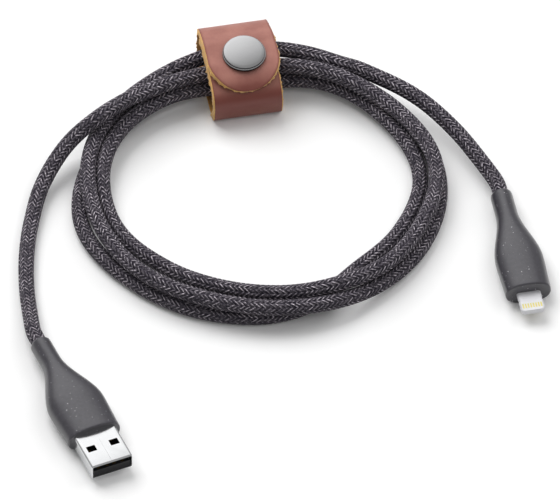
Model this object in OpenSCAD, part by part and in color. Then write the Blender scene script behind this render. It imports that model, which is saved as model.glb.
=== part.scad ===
// Charging cable: a USB-A plug and a flat eight-contact phone plug joined by a braided cord,
// coiled three times and held together by a leather keeper strap with a press snap.
// The cable lies on the plane Z = 0.  X runs along the strap's width and +Y away from the plugs.
// In each plug's own frame +X points out of its mouth and the origin is the cord's exit.

/* [Cord] */
// Outer diameter of the braided cord
cord_d = 4.1; // [3.9:0.05:4.2]
// Diameter of the cord's inner jacket, where the braid ends inside a plug
core_d = 3.0; // [2.4:0.1:3.4]
// Diameter of one insulated wire
lead_d = 0.6; // [0.4:0.1:0.7]

/* [USB plug] */
// Length of the moulded housing
usb_body_l = 37.8; // [36:0.1:42]
// Width of the housing at its shoulders
usb_body_w = 16; // [15:0.5:20]
// Height of the housing
usb_body_h = 8; // [7.5:0.5:10]
// Diameter of the housing's neck
usb_neck_d = 5.9; // [5:0.1:7]
// Width of the steel shell
shell_w = 12; // [11:0.5:12.5]
// Height of the steel shell
shell_h = 4.5; // [4:0.1:5]
// Sheet thickness of the shell
shell_wall = 0.3; // [0.2:0.05:0.4]
// Length of shell that stands out of the housing
shell_out = 12.2; // [11:0.1:14]
// Length of shell that is held inside the housing
shell_in = 8.5; // [6:0.5:10]
// Height of the plastic tongue inside the shell
tongue_h = 1.85; // [1.5:0.05:2.2]

/* [Phone plug] */
// Length of the moulded housing
pin_body_l = 37.8; // [36:0.1:42]
// Width of the housing at its shoulders
pin_body_w = 13.3; // [12:0.1:16]
// Height of the housing
pin_body_h = 7.4; // [7:0.2:9]
// Diameter of the housing's neck
pin_neck_d = 6.1; // [5:0.1:7]
// Width of the metal tab
tab_w = 6.7; // [6:0.1:7]
// Thickness of the metal tab
tab_t = 1.5; // [1.2:0.1:1.8]
// Length of tab that stands out of the housing
tab_out = 6.9; // [6:0.1:8]
// Length of tab that is held inside the housing
tab_in = 5; // [4:0.5:7]
// Contacts on each face of the tab
pin_count = 8; // [4:1:8]

/* [Strap] */
// Width of the leather strap, measured along the cords it holds
strap_w = 19.4; // [14:0.2:21]
// Thickness of the leather
leather_t = 1.5; // [1.2:0.1:1.6]
// Distance that the strap can slide to either side
strap_slide = 2; // [1:0.5:3]

/* [Snap] */
// Diameter of the cap
cap_d = 12; // [9:0.5:13]
// Height of the cap above the leather
cap_h = 1.2; // [1:0.1:2]
// Diameter of the socket under the flap
socket_d = 7.6; // [7:0.2:8]
// Diameter of the stud's head
stud_d = 3.4; // [2.8:0.1:3.6]
// Angle by which the snap leans towards the front
snap_lean = 7; // [6:0.5:8]

/* [Hidden] */

// ---------------------------------------------------------------- named clearances
running_gap = 0.3;      // between leather faces and between the parts of the snap that move apart
seat_gap = 0.1;         // round a post in its hole and round a wire in its cavity
hinge_gap = 0.3;        // between the flap's rounded root and the band's cut end

// ---------------------------------------------------------------- places
cord_r = cord_d / 2;
usb_exit = [-68.5, -25.0];      // where the cord leaves the USB plug
usb_heading = -77.5;            // direction of the USB plug's mouth
pin_exit = [65.3, 6.2];         // where the cord leaves the phone plug
pin_heading = -90;              // direction of the phone plug's mouth
usb_axis_z = usb_body_h / 2;
pin_axis_z = pin_body_h / 2;
coil_centre = [3, 18.5];
strap_x = 3.6;                  // middle of the strap's width
strap_y = 51;                   // front of the strap's lower fold

// ---------------------------------------------------------------- curve functions
// Point at fraction f between b and c on a smooth curve through a, b, c and d
function smooth(a, b, c, d, f) =
    (2 * b + (c - a) * f + (2 * a - 5 * b + 4 * c - d) * pow(f, 2)
    + (3 * b - a - 3 * c + d) * pow(f, 3)) / 2;

// Smooth curve with n steps from point to point; the first and last points only steer its ends
function steered(points, n) = [
    for (i = [1:len(points) - 3])
        for (k = [0:n - 1])
            smooth(points[i - 1], points[i], points[i + 1], points[i + 2], k / n),
    points[len(points) - 2]
];

// Smooth curve through all of its points
function curve(points, n) =
    let (last = len(points) - 1)
    steered([2 * points[0] - points[1], each points, 2 * points[last] - points[last - 1]], n);

function unit(v) = v / norm(v);

// Direction of a path at its point i
function along(path, i) = unit(path[min(i + 1, len(path) - 1)] - path[max(i - 1, 0)]);

// A 0 to 1 ramp with soft ends between a and b
function ramp(x, a, b) = let (f = max(0, min(1, (x - a) / (b - a)))) f * f * (3 - 2 * f);

// Rounded rectangle as points, n steps to a corner
function round_rect(w, h, r, n = 4) = [
    for (q = [0:3])
        for (k = [0:n])
            let (a = 90 * q + 90 * k / n,
                 sx = (q == 0 || q == 3) ? 1 : -1,
                 sy = q < 2 ? 1 : -1)
            [sx * (w / 2 - r) + r * cos(a), sy * (h / 2 - r) + r * sin(a)]
];

// Closed solid through rings that hold the same number of points
module skin(rings) {
    n = len(rings[0]);
    m = len(rings);
    polyhedron(
        points = [for (ring = rings) each ring],
        faces = [
            for (k = [1:n - 2])
                [0, k + 1, k],
            for (j = [0:m - 2])
                for (k = [0:n - 1])
                    let (a = j * n + k, b = j * n + (k + 1) % n)
                    each [[a, b, b + n], [a, b + n, a + n]],
            for (k = [1:n - 2])
                [(m - 1) * n, (m - 1) * n + k, (m - 1) * n + k + 1]
        ]
    );
}

// Round tube along a path that lies nearly flat
module tube(path, d, sides) {
    skin([
        for (i = [0:len(path) - 1])
            let (t = along(path, i),
                 side = unit(cross(t, [0, 0, 1])),
                 up = cross(side, t))
            [for (k = [0:sides - 1])
                let (a = 360 * (k + 0.5) / sides)
                path[i] + d / 2 * (cos(a) * side + sin(a) * up)]
    ]);
}

// ---------------------------------------------------------------- cord route
// Each turn of the coil starts under the strap at twelve o'clock and goes round clockwise.
// A pair is the reach from the coil's centre and the lift off the lowest lie, one for each hour.
turns = [
    [
        [43.3, 6.5], [44.2, 6.5], [44.9, 6.0], [46.4, 5.0], [43.7, 4.4], [43.2, 5.2],
        [40.4, 5.2], [37.8, 2.5], [38.6, 0.4], [43.5, 0.3], [46.1, 3.5], [44.5, 3.9]
    ],
    [
        [41.7, 1.9], [44.7, 1.8], [43.1, 1.4], [42.1, 0.4], [37.9, 0], [36.2, 0],
        [43.0, 0], [46.0, 0], [48.4, 0], [51.9, 0], [50.2, 0], [48.6, 1.0]
    ],
    [
        [46.8, 2.2], [49.4, 1.2], [48.6, 0.3], [47.5, 0], [45.8, 0], [45.4, 0.9],
        [46.0, 4.3], [45.1, 4.6], [46.9, 4.4], [48.1, 4.2], [50.7, 4.8], [50.5, 5.6]
    ]
];
hours = len(turns[0]);
lead_in = [[50.8, 9.6], [45.6, 8.5]];       // ten and eleven o'clock, before the first turn
lead_out = [[49.8, 8.0], [49.7, 7.4], [50.6, 6.6]];     // twelve to two, after the last turn
stations = [each lead_in, for (turn = turns) each turn, each lead_out];
steps = 2;                                  // rings to the hour, so 24 to the turn
coil_sides = 6;
stretch_sides = 8;

function at_hour(hour, station) =
    let (a = 90 - 360 * hour / hours)
    [coil_centre.x + station[0] * cos(a),
     coil_centre.y + station[0] * sin(a),
     cord_r + max(0, station[1])];

// Centre of the coiled cord at a time in hours; the first and last stations only steer its ends
first_hour = 1 - len(lead_in);
last_hour = len(stations) - 2 - len(lead_in);
function coil_at(hour) =
    let (i = min(floor(hour), last_hour - 1) + len(lead_in),
         f = hour + len(lead_in) - i)
    at_hour(hour, smooth(stations[i - 1], stations[i], stations[i + 1], stations[i + 2], f));

// The coil's two ends run straight for one diameter, and each free stretch takes over from there
glance = 0.02;      // small step in hours, to read the cord's direction at its ends
coil_in_dir = unit(coil_at(first_hour + glance) - coil_at(first_hour));
coil_out_dir = unit(coil_at(last_hour) - coil_at(last_hour - glance));
coil_in = coil_at(first_hour) - cord_d * coil_in_dir;
coil_out = coil_at(last_hour) + cord_d * coil_out_dir;
function coil_points(n) = [
    coil_in,
    for (k = [first_hour * n:last_hour * n]) coil_at(k / n),
    coil_out
];
coil_path = coil_points(steps);

usb_exit_at = [usb_exit.x, usb_exit.y, usb_axis_z];
pin_exit_at = [pin_exit.x, pin_exit.y, pin_axis_z];

function heading(a) = [cos(a), sin(a), 0];

usb_route = [
    [-69.0, -14, 2.9],
    [-67.9, -2, cord_r],
    [-65.6, 10.5, cord_r],
    [-62.0, 22.5, 2.1],
    [-56.6, 34.6, 3.4],
    [-48.0, 44.2, 7.3],
    [-38.1, 48.5, 12.2]
];
pin_route = [
    [41.4, 51.8, 8.3],
    [50.4, 42.3, 7.2],
    [57.4, 30.6, 6.0],
    [62.2, 19.2, 4.7]
];

// Free stretch: straight for one diameter at both ends, smooth through its own points between
function stretch(from, from_dir, points, to, to_dir, n) = [
    from,
    each steered([
        from, from + cord_d * from_dir,
        each points,
        to - cord_d * to_dir, to
    ], n),
    to
];

function usb_points(n) = stretch(usb_exit_at, -heading(usb_heading), usb_route,
    coil_in, coil_in_dir, n);
function pin_points(n) = stretch(coil_out, coil_out_dir, pin_route,
    pin_exit_at, heading(pin_heading), n);
usb_path = usb_points(steps);
pin_path = pin_points(steps);

// Length of a path
function path_length(path) =
    let (runs = [for (i = [1:len(path) - 1]) norm(path[i] - path[i - 1])])
    runs * [for (run = runs) 1];

// Least gap between two paths, and between the passes of one that are over `apart` points away
function gap_between(one, other) = min([for (p = one) for (q = other) norm(p - q)]) - cord_d;
function gap_to_self(path, apart) = min([
    for (i = [0:len(path) - 1])
        for (j = [i + apart:1:len(path) - 1])
            norm(path[i] - path[j])
]) - cord_d;

fine = 8;           // points to the hour where gaps are measured
half_turn = fine * hours / 2;
fine_coil = coil_points(fine);
far_from_in = [for (i = [half_turn:len(fine_coil) - 1]) fine_coil[i]];
far_from_out = [for (i = [0:len(fine_coil) - 1 - half_turn]) fine_coil[i]];
echo(least_gap_to_itself = gap_to_self(fine_coil, half_turn));
echo(usb_stretch_to_coil = gap_between(usb_points(fine), far_from_in));
echo(pin_stretch_to_coil = gap_between(pin_points(fine), far_from_out));
echo(lengths = [path_length(usb_points(fine)), path_length(fine_coil), path_length(pin_points(fine))]);

// ---------------------------------------------------------------- plug housings
flare_from = 7.5;       // where a neck starts to widen, from the cord's exit
flare_to = 25.5;        // where the shoulders are full
front_taper = 0.7;      // narrowing from the shoulders to the mouth
nose_r = 0.9;           // rounding of the mouth's rim
tail_r = 0.6;           // rounding of the neck's end
body_power = 2.5;       // squareness of the body's section; 2 is an ellipse

function power_oval(w, h, p, n) = [
    for (k = [0:n - 1])
        let (a = 360 * k / n)
        [w / 2 * sign(cos(a)) * pow(abs(cos(a)), 2 / p),
         h / 2 * sign(sin(a)) * pow(abs(sin(a)), 2 / p)]
];

// How far a rounded edge of radius r draws the section in at distance x from the end
function drawn_in(x, r) = x >= r ? 0 : r - sqrt(r * r - pow(r - x, 2));

// Bottle-shaped moulding from the neck at X = 0 to the mouth at X = l
module bottle(l, w, h, neck) {
    places = [0, 0.2, tail_r, for (x = [3:1.5:l - 3]) x, l - 2, l - nose_r, l - 0.5, l - 0.15, l];
    skin([
        for (x = places)
            let (f = ramp(x, flare_from, flare_to),
                 cut = 2 * (drawn_in(x, tail_r) + drawn_in(l - x, nose_r)),
                 wide = neck + (w - neck) * f - front_taper * ramp(x, flare_to, l) - cut,
                 high = neck + (h - neck) * f - cut)
            [for (q = power_oval(wide, high, 2 + (body_power - 2) * f, 28)) [x, q[0], q[1]]]
    ]);
}

module on_usb() {
    translate([usb_exit.x, usb_exit.y, usb_axis_z])
        rotate([0, 0, usb_heading])
            children();
}

module on_pin() {
    translate([pin_exit.x, pin_exit.y, pin_axis_z])
        rotate([0, 0, pin_heading])
            children();
}

// Prism along X with its section given as points in Y and Z
module prism(from, to, section) {
    translate([from, 0, 0])
        rotate([90, 0, 90])
            linear_extrude(to - from)
                polygon(section);
}

// Inner moulding, drawn in towards the cord
module inner_block(from, to, w, h) {
    tail = core_d + 2;
    taper = (w - tail) * 0.8;
    translate([0, 0, -h / 2])
        linear_extrude(h)
            polygon([
                [from, -tail / 2], [from + taper, -w / 2], [to, -w / 2],
                [to, w / 2], [from + taper, w / 2], [from, tail / 2]
            ]);
}

module rod(from, to, d) {
    translate([from, 0, 0])
        rotate([0, 90, 0])
            cylinder(h = to - from, d = d, $fn = 24);
}

// ---------------------------------------------------------------- USB plug
shell_from = usb_body_l - shell_in;
shell_to = usb_body_l + shell_out;
shell_corner = 0.6;
window_l = 2.1;         // spring windows, two above and two below
window_w = 2.5;
window_pitch = 6.6;
window_at = 6.6;        // from the mouth to the windows' middle
seam_w = 0.12;
seam_depth = 0.1;
bore_w = shell_w - 2 * shell_wall;
bore_h = shell_h - 2 * shell_wall;
tongue_w = bore_w - 2 * seat_gap;
tongue_inset = 0.7;     // tongue's end behind the shell's mouth
tongue_root = 4;        // full-height length at the tongue's root
contact_w = 1;
contact_t = 0.3;
contact_y = [-3.5, -1, 1, 3.5];
contact_l = [7.4, 6.4, 6.4, 7.4];
contact_inset = 1.1;    // contacts' ends behind the shell's mouth
block_l = 12;           // inner moulding behind the shell
block_w = shell_w - 1.6;
block_h = shell_h;
block_from = shell_from - block_l;
cavity_l = 8;           // open space inside the inner moulding, where the wires fan out
cavity_w = 8.6;
cavity_h = 2.4;
core_into = 2.5;        // how far the cord's core reaches into the inner moulding
tongue_top = -bore_h / 2 + tongue_h;

module usb_housing() {
    color("#4a484c")
        on_usb()
            difference() {
                bottle(usb_body_l, usb_body_w, usb_body_h, usb_neck_d);
                prism(shell_from, usb_body_l + 1, round_rect(shell_w, shell_h, shell_corner));
                inner_block(block_from, shell_from, block_w, block_h);
                rod(-1, block_from + 0.5, core_d);
            }
}

module usb_shell() {
    color("#d4d6d8")
        on_usb()
            difference() {
                prism(shell_from, shell_to, round_rect(shell_w, shell_h, shell_corner));
                prism(shell_from - 1, shell_to + 1,
                    round_rect(bore_w, bore_h, shell_corner - shell_wall));
                for (side = [-1, 1])
                    translate([shell_to - window_at - window_l / 2,
                        side * window_pitch / 2 - window_w / 2, -shell_h])
                        cube([window_l, window_w, 2 * shell_h]);
                translate([shell_from - 1, -seam_w / 2, shell_h / 2 - seam_depth])
                    cube([shell_to - shell_from + 2, seam_w, 1]);
            }
}

module usb_contact_bars(grow) {
    for (i = [0:len(contact_y) - 1])
        translate([shell_to - contact_inset - contact_l[i], contact_y[i] - contact_w / 2,
            tongue_top - contact_t])
            cube([contact_l[i], contact_w, contact_t + grow]);
}

module usb_tongue() {
    color("#26262a")
        on_usb()
            difference() {
                intersection() {
                    prism(shell_from, shell_to - tongue_inset,
                        round_rect(tongue_w, bore_h, shell_corner - shell_wall));
                    union() {
                        translate([shell_from, -shell_w / 2, -bore_h / 2])
                            cube([shell_in + shell_out, shell_w, tongue_h]);
                        translate([shell_from, -shell_w / 2, -bore_h / 2])
                            cube([tongue_root, shell_w, bore_h]);
                    }
                }
                usb_contact_bars(1);
            }
}

module usb_contacts() {
    color("#d9b45a")
        on_usb()
            usb_contact_bars(0);
}

module usb_block() {
    color("#e6e3da")
        on_usb()
            difference() {
                inner_block(block_from, shell_from, block_w, block_h);
                translate([shell_from - cavity_l, -cavity_w / 2, -cavity_h / 2])
                    cube([cavity_l + 1, cavity_w, cavity_h]);
                rod(block_from - 1, block_from + core_into, core_d);
                rod(block_from + core_into, shell_from - cavity_l + 0.5, core_d - 0.6);
            }
}

// Wires from the cord's core to a row of solder points, spread in the plane of the plug
module lead_fan(from, to, ends, spread) {
    n = len(ends);
    for (i = [0:n - 1])
        let (start = spread * (i - (n - 1) / 2),
             run = to - from,
             angle = atan2(ends[i] - start, run))
        translate([from, start, 0])
            rotate([0, 0, angle])
                rotate([0, 90, 0])
                    cylinder(h = norm([run, ends[i] - start]), d = lead_d, $fn = 16);
}

module usb_leads() {
    color("#c0392b")
        on_usb()
            lead_fan(shell_from - cavity_l + 0.6, shell_from - seat_gap, contact_y * 0.9,
                lead_d + seat_gap);
}

module usb_core() {
    color("#1d1d20")
        on_usb()
            rod(0, block_from + core_into, core_d);
}

// ---------------------------------------------------------------- phone plug
tab_from = pin_body_l - tab_in;
tab_to = pin_body_l + tab_out;
tab_edge = 0.7;         // rounding of the tab's long edges
tab_corner = 1.3;       // rounding of the tab's tip, seen from above
notch_r = 0.55;         // latch notches in the tab's sides
notch_at = 4.3;         // from the tip to the notches
inlay_l = 2.3;
inlay_at = 0.6;         // from the tip to the inlay
pin_pitch = 0.71;
pin_pad_w = 0.42;
pin_pad_l = 1.65;
pin_pad_t = 0.2;
inlay_w = pin_pitch * (pin_count - 1) + pin_pad_w + 0.3;
board_l = 13;
board_w = 5.4;
board_t = 0.6;
board_into = 2.5;       // how far the board reaches into the tab's root
can_l = 8;
can_w = 4.6;
can_h = 1.5;
can_wall = 0.2;
lead_pitch = lead_d + 0.05;
lead_row = 4 * lead_pitch;
pin_block_l = 15;
pin_block_w = 8;
pin_block_h = 4.6;
pin_block_from = tab_from - pin_block_l;
board_to = tab_from + board_into;
board_from = board_to - board_l;
can_from = board_from + 1.5;

module pin_housing() {
    color("#4a484c")
        on_pin()
            difference() {
                bottle(pin_body_l, pin_body_w, pin_body_h, pin_neck_d);
                tab_outline(tab_from, pin_body_l + 1);
                inner_block(pin_block_from, tab_from, pin_block_w, pin_block_h);
                rod(-1, pin_block_from + 0.5, core_d);
            }
}

module tab_outline(from, to) {
    prism(from, to, round_rect(tab_w, tab_t, tab_edge));
}

module tab_frame() {
    color("#dcdedf")
        on_pin()
            difference() {
                intersection() {
                    tab_outline(tab_from, tab_to);
                    translate([tab_to - 10, 0, -tab_t])
                        linear_extrude(2 * tab_t)
                            polygon(round_rect(20, tab_w, tab_corner, 6));
                    translate([tab_to - 40, -tab_w, -tab_t])
                        cube([40, 2 * tab_w, 2 * tab_t]);
                }
                translate([tab_to - inlay_at - inlay_l, -inlay_w / 2, -tab_t])
                    cube([inlay_l, inlay_w, 2 * tab_t]);
                translate([tab_from - 1, -board_w / 2, -board_t / 2])
                    cube([board_into + 1, board_w, board_t]);
                for (side = [-1, 1])
                    translate([tab_to - notch_at, side * (tab_w / 2 + 0.15), -tab_t])
                        cylinder(h = 2 * tab_t, r = notch_r, $fn = 24);
            }
}

module pads(face) {
    for (i = [0:pin_count - 1])
        translate([tab_to - inlay_at - inlay_l / 2 - pin_pad_l / 2,
            pin_pitch * (i - (pin_count - 1) / 2) - pin_pad_w / 2,
            face > 0 ? tab_t / 2 - pin_pad_t : -tab_t / 2])
            cube([pin_pad_l, pin_pad_w, pin_pad_t]);
}

module tab_inlay() {
    color("#b9bbbd")
        on_pin()
            difference() {
                translate([tab_to - inlay_at - inlay_l, -inlay_w / 2, -tab_t / 2])
                    cube([inlay_l, inlay_w, tab_t]);
                pads(1);
                pads(-1);
            }
}

module tab_contacts_top() {
    color("#d8ab48")
        on_pin()
            pads(1);
}

module tab_contacts_under() {
    color("#d8ab48")
        on_pin()
            pads(-1);
}

module pin_board() {
    color("#1f5a3a")
        on_pin()
            translate([board_from, -board_w / 2, -board_t / 2])
                cube([board_l, board_w, board_t]);
}

// Space of the screening can, which stands on the board; inset by its wall, its inside
module can_space(inset) {
    translate([can_from + inset, -can_w / 2 + inset, board_t / 2])
        cube([can_l - 2 * inset, can_w - 2 * inset, can_h - inset]);
}

module pin_can() {
    color("#c4c6c8")
        on_pin()
            difference() {
                can_space(0);
                can_space(can_wall);
            }
}

module pin_block() {
    color("#e6e3da")
        on_pin()
            difference() {
                inner_block(pin_block_from, tab_from, pin_block_w, pin_block_h);
                translate([board_from, -board_w / 2, -board_t / 2])
                    cube([board_l, board_w, board_t]);
                can_space(0);
                rod(pin_block_from - 1, pin_block_from + core_into, core_d);
                translate([pin_block_from + core_into, -lead_row / 2, -lead_d])
                    cube([board_from - pin_block_from - core_into, lead_row, 2 * lead_d]);
            }
}

module pin_leads() {
    color("#c0392b")
        on_pin()
            lead_fan(pin_block_from + core_into + seat_gap, board_from - seat_gap,
                [-1.5, -0.5, 0.5, 1.5] * lead_pitch, lead_pitch);
}

module pin_core() {
    color("#1d1d20")
        on_pin()
            rod(0, pin_block_from + core_into, core_d);
}

// ---------------------------------------------------------------- cord
module cord_usb_end() {
    color("#3a373b")
        tube(usb_path, cord_d, stretch_sides);
}

module cord_coil() {
    color("#3a373b")
        tube(coil_path, cord_d, coil_sides);
}

module cord_pin_end() {
    color("#3a373b")
        tube(pin_path, cord_d, stretch_sides);
}

// ---------------------------------------------------------------- strap
// Middle line of the leather, seen from the strap's side: distance behind the front fold, height
hinge_at = [23.6, 12.0];
snap_u = 9.1;           // snap's axis where it crosses the flap
inner_z = 12.45;        // height of the band's inner layer under it
socket_h = 1.1;         // socket below the flap
stud_base_t = 0.2;      // stud's flange on the inner layer
layer_pitch = leather_t + socket_h + running_gap + stud_base_t;

// Heights of the band's inner layer and of the flap over it, where they lie flat under the snap
function inner(u) = inner_z + (u - snap_u) * tan(snap_lean);
function outer(u) = inner(u) + layer_pitch / cos(snap_lean);

band_line = [
    [23.6, hinge_at[1] - leather_t / 2 - hinge_gap], [23.6, 8], [23.6, 3.6], [22.8, 1.6],
    [20.8, leather_t / 2], [12, leather_t / 2], [3.2, leather_t / 2], [0.9, 1.6], [0, 3.8],
    [-0.5, 6.8], [-0.2, 8.6], [0.8, 10.1], [2.7, 11.2], [5, inner(5)], [7.5, inner(7.5)],
    [10, inner(10)], [13, inner(13)], [14.3, 13.1], [15.8, 13.5], [17.4, 13.6], [19.1, 13.1],
    [20.5, 12.0], [21.2, 10.5]
];
flap_line = [
    hinge_at, [23.3, 13.4], [22.1, 14.6], [20.2, 15.5], [17.8, 16.0], [15, outer(15)],
    [12, outer(12)], [9, outer(9)], [6, outer(6)], [3.2, 14.4], [1.1, 13.2], [-0.4, 11.6]
];
tip_r = strap_w / 2;    // round tip of the flap
tip_out = 1.1;          // tip beyond the front fold

// Outline of a strip of leather along its middle line
function strip(line, t, n) =
    let (mid = curve(line, n),
         last = len(mid) - 1,
         off = [for (i = [0:last]) let (d = along(mid, i)) [-d[1], d[0]] * t / 2])
    [
        for (i = [0:last]) mid[i] + off[i],
        for (i = [last:-1:0]) mid[i] - off[i]
    ];

module on_strap() {
    translate([strap_x, strap_y, 0])
        children();
}

// The snap's own frame: origin in the middle of the flap, +Z out of the cap
module on_snap() {
    on_strap()
        translate([0, snap_u, outer(snap_u)])
            rotate([snap_lean, 0, 0])
                children();
}

post_d = 1.8;           // rivet posts through the leather
press_depth = 0.6;      // how far a seat is cleared above and below the leather
flap_under = -leather_t / 2;
band_over = -layer_pitch + leather_t / 2;
cap_rim = 0.7;          // height of the cap's straight edge
cap_edge = 0.35;        // rolled edge round the cap's face
cap_crown = 0.2;        // rise of the face to its middle
socket_plate = 0.35;
stud_base_d = 4.6;
stud_h = 0.85;          // stud's head above its flange
eyelet_d = 4.2;
eyelet_t = 0.3;
spring_wire = 0.3;
socket_bore = stud_d + 2 * running_gap;
spring_d = socket_bore + spring_wire;

// What the snap's parts take from a leather layer at height z: the post's hole, and a flat seat
// for the disc on each face
module pressed_seats(z, upper_d, lower_d) {
    translate([0, 0, z - leather_t])
        cylinder(h = 2 * leather_t, d = post_d + 2 * seat_gap, $fn = 32);
    translate([0, 0, z + leather_t / 2])
        cylinder(h = press_depth, d = upper_d + 2 * seat_gap, $fn = 64);
    translate([0, 0, z - leather_t / 2 - press_depth])
        cylinder(h = press_depth, d = lower_d + 2 * seat_gap, $fn = 64);
}

module strap_band() {
    color("#8a5247")
        difference() {
            on_strap()
                prism(-strap_w / 2, strap_w / 2, strip(band_line, leather_t, 4));
            on_snap()
                pressed_seats(-layer_pitch, stud_base_d, eyelet_d);
        }
}

module strap_flap() {
    color("#a06a5c")
        difference() {
            intersection() {
                on_strap()
                    union() {
                        prism(-strap_w / 2, strap_w / 2, strip(flap_line, leather_t, 4));
                        translate([-strap_w / 2, hinge_at[0], hinge_at[1]])
                            rotate([0, 90, 0])
                                cylinder(h = strap_w, d = leather_t, $fn = 32);
                    }
                on_strap()
                    union() {
                        translate([0, tip_r - tip_out, 0])
                            cylinder(h = 30, r = tip_r, $fn = 96);
                        translate([-strap_w / 2, tip_r - tip_out, 0])
                            cube([strap_w, 30, 30]);
                    }
            }
            on_snap()
                pressed_seats(0, cap_d, socket_d);
        }
}

// ---------------------------------------------------------------- snap
module snap_cap() {
    r = cap_d / 2;
    z = leather_t / 2;
    color("#c9cbcd")
        on_snap() {
            rotate_extrude($fn = 72)
                polygon([
                    [0, z],
                    [r - 0.3, z],
                    [r, z + 0.3],
                    [r, z + cap_rim],
                    [r - 0.12, z + cap_rim + 0.2],
                    for (k = [0:8])
                        let (f = 1 - k / 8)
                        [(r - cap_edge) * f, z + cap_h - cap_crown * f * f]
                ]);
            translate([0, 0, flap_under - socket_plate])
                cylinder(h = leather_t + socket_plate, d = post_d, $fn = 32);
        }
}

module snap_socket() {
    top = flap_under;
    color("#b5b7b9")
        on_snap()
            rotate_extrude($fn = 64)
                polygon([
                    [post_d / 2 + 0.02, top],
                    [socket_d / 2 - 0.5, top],
                    [socket_d / 2, top - 0.4],
                    [socket_d / 2, top - socket_h + 0.2],
                    [socket_d / 2 - 0.2, top - socket_h],
                    [socket_bore / 2, top - socket_h],
                    [socket_bore / 2, top - socket_h + 0.25],
                    [socket_bore / 2 + spring_wire + seat_gap, top - socket_h + 0.25],
                    [socket_bore / 2 + spring_wire + seat_gap, top - socket_plate],
                    [post_d / 2 + 0.02, top - socket_plate]
                ]);
}

module snap_spring() {
    z = flap_under - (socket_plate + socket_h - 0.25) / 2;
    color("#9a9c9e")
        on_snap()
            difference() {
                translate([0, 0, z])
                    rotate_extrude($fn = 48)
                        translate([spring_d / 2, 0])
                            circle(d = spring_wire, $fn = 16);
                translate([0, -0.6, z - 1])
                    cube([10, 1.2, 2]);
            }
}

module snap_stud() {
    z = band_over;
    neck = stud_d / 2 - 0.2;
    color("#b5b7b9")
        on_snap()
            rotate_extrude($fn = 64)
                polygon([
                    [post_d / 2 + 0.02, z],
                    [stud_base_d / 2, z],
                    [stud_base_d / 2 - 0.1, z + stud_base_t],
                    [neck, z + stud_base_t],
                    [neck, z + stud_base_t + 0.3],
                    [stud_d / 2, z + stud_base_t + 0.5],
                    [stud_d / 2 - 0.15, z + stud_base_t + stud_h - 0.1],
                    [stud_d / 2 - 0.5, z + stud_base_t + stud_h],
                    [0, z + stud_base_t + stud_h],
                    [0, z + stud_base_t + stud_h - 0.25],
                    [post_d / 2 + 0.02, z + stud_base_t + stud_h - 0.25]
                ]);
}

module snap_eyelet() {
    under = band_over - leather_t;
    top = band_over + stud_base_t + stud_h - 0.25;
    color("#b5b7b9")
        on_snap()
            rotate_extrude($fn = 48)
                polygon([
                    [0, under - eyelet_t],
                    [eyelet_d / 2 - 0.2, under - eyelet_t],
                    [eyelet_d / 2, under],
                    [post_d / 2, under],
                    [post_d / 2, top],
                    [0, top]
                ]);
}

usb_housing();
usb_shell();
usb_tongue();
usb_contacts();
usb_block();
usb_leads();
usb_core();
pin_housing();
tab_frame();
tab_inlay();
tab_contacts_top();
tab_contacts_under();
pin_board();
pin_can();
pin_block();
pin_leads();
pin_core();
cord_usb_end();
cord_coil();
cord_pin_end();
strap_band();
strap_flap();
snap_cap();
snap_socket();
snap_spring();
snap_stud();
snap_eyelet();
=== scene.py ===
"""Looks of a coiled charging cable: a braided cord, two moulded plugs and a leather keeper strap.

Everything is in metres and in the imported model's frame: the cable lies on Z = 0, +X runs along the
strap's width and +Y points from the plugs towards the strap.
"""

import logging
import math
from dataclasses import dataclass
from enum import Enum
from typing import Any, Callable, Sequence

import bpy
import numpy as np
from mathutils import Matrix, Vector, noise


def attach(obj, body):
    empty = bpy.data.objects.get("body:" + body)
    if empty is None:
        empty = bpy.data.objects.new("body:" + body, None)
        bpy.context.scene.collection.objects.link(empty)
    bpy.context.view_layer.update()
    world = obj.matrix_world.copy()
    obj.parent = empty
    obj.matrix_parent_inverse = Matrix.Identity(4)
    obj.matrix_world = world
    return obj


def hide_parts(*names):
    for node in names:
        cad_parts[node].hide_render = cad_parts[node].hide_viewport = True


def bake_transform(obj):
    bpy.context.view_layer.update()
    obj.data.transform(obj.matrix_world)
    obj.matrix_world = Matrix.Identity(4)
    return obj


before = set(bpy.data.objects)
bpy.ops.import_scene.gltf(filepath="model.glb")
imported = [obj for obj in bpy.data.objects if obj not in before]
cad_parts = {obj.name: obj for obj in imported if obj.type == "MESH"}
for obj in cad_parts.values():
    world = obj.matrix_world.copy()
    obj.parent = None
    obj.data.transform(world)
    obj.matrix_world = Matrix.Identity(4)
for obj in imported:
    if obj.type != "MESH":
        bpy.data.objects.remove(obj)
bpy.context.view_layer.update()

logging.basicConfig(level=logging.INFO, format="%(message)s")
log = logging.getLogger("charging_cable")

Source = bpy.types.NodeSocket | bpy.types.Node

MM = 0.001  # metres
IMAGE_WIDTH = 560  # pixels
PIXELS_PER_MM = 3.67


class Body(str, Enum):
    """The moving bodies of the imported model."""

    CABLE = "cable"
    STRAP = "strap"
    FLAP = "flap"


# ------------------------------------------------------------------ small tools


def linear(hex_colour: str) -> tuple[float, float, float, float]:
    """Turn an sRGB hex colour into linear RGBA.

    Args:
        hex_colour: Colour such as "#4a484c".

    Returns:
        The linear red, green, blue and alpha.
    """
    channels = [int(hex_colour[i : i + 2], 16) / 255 for i in (1, 3, 5)]
    red, green, blue = (c / 12.92 if c <= 0.04045 else ((c + 0.055) / 1.055) ** 2.4 for c in channels)
    return red, green, blue, 1.0


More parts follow.
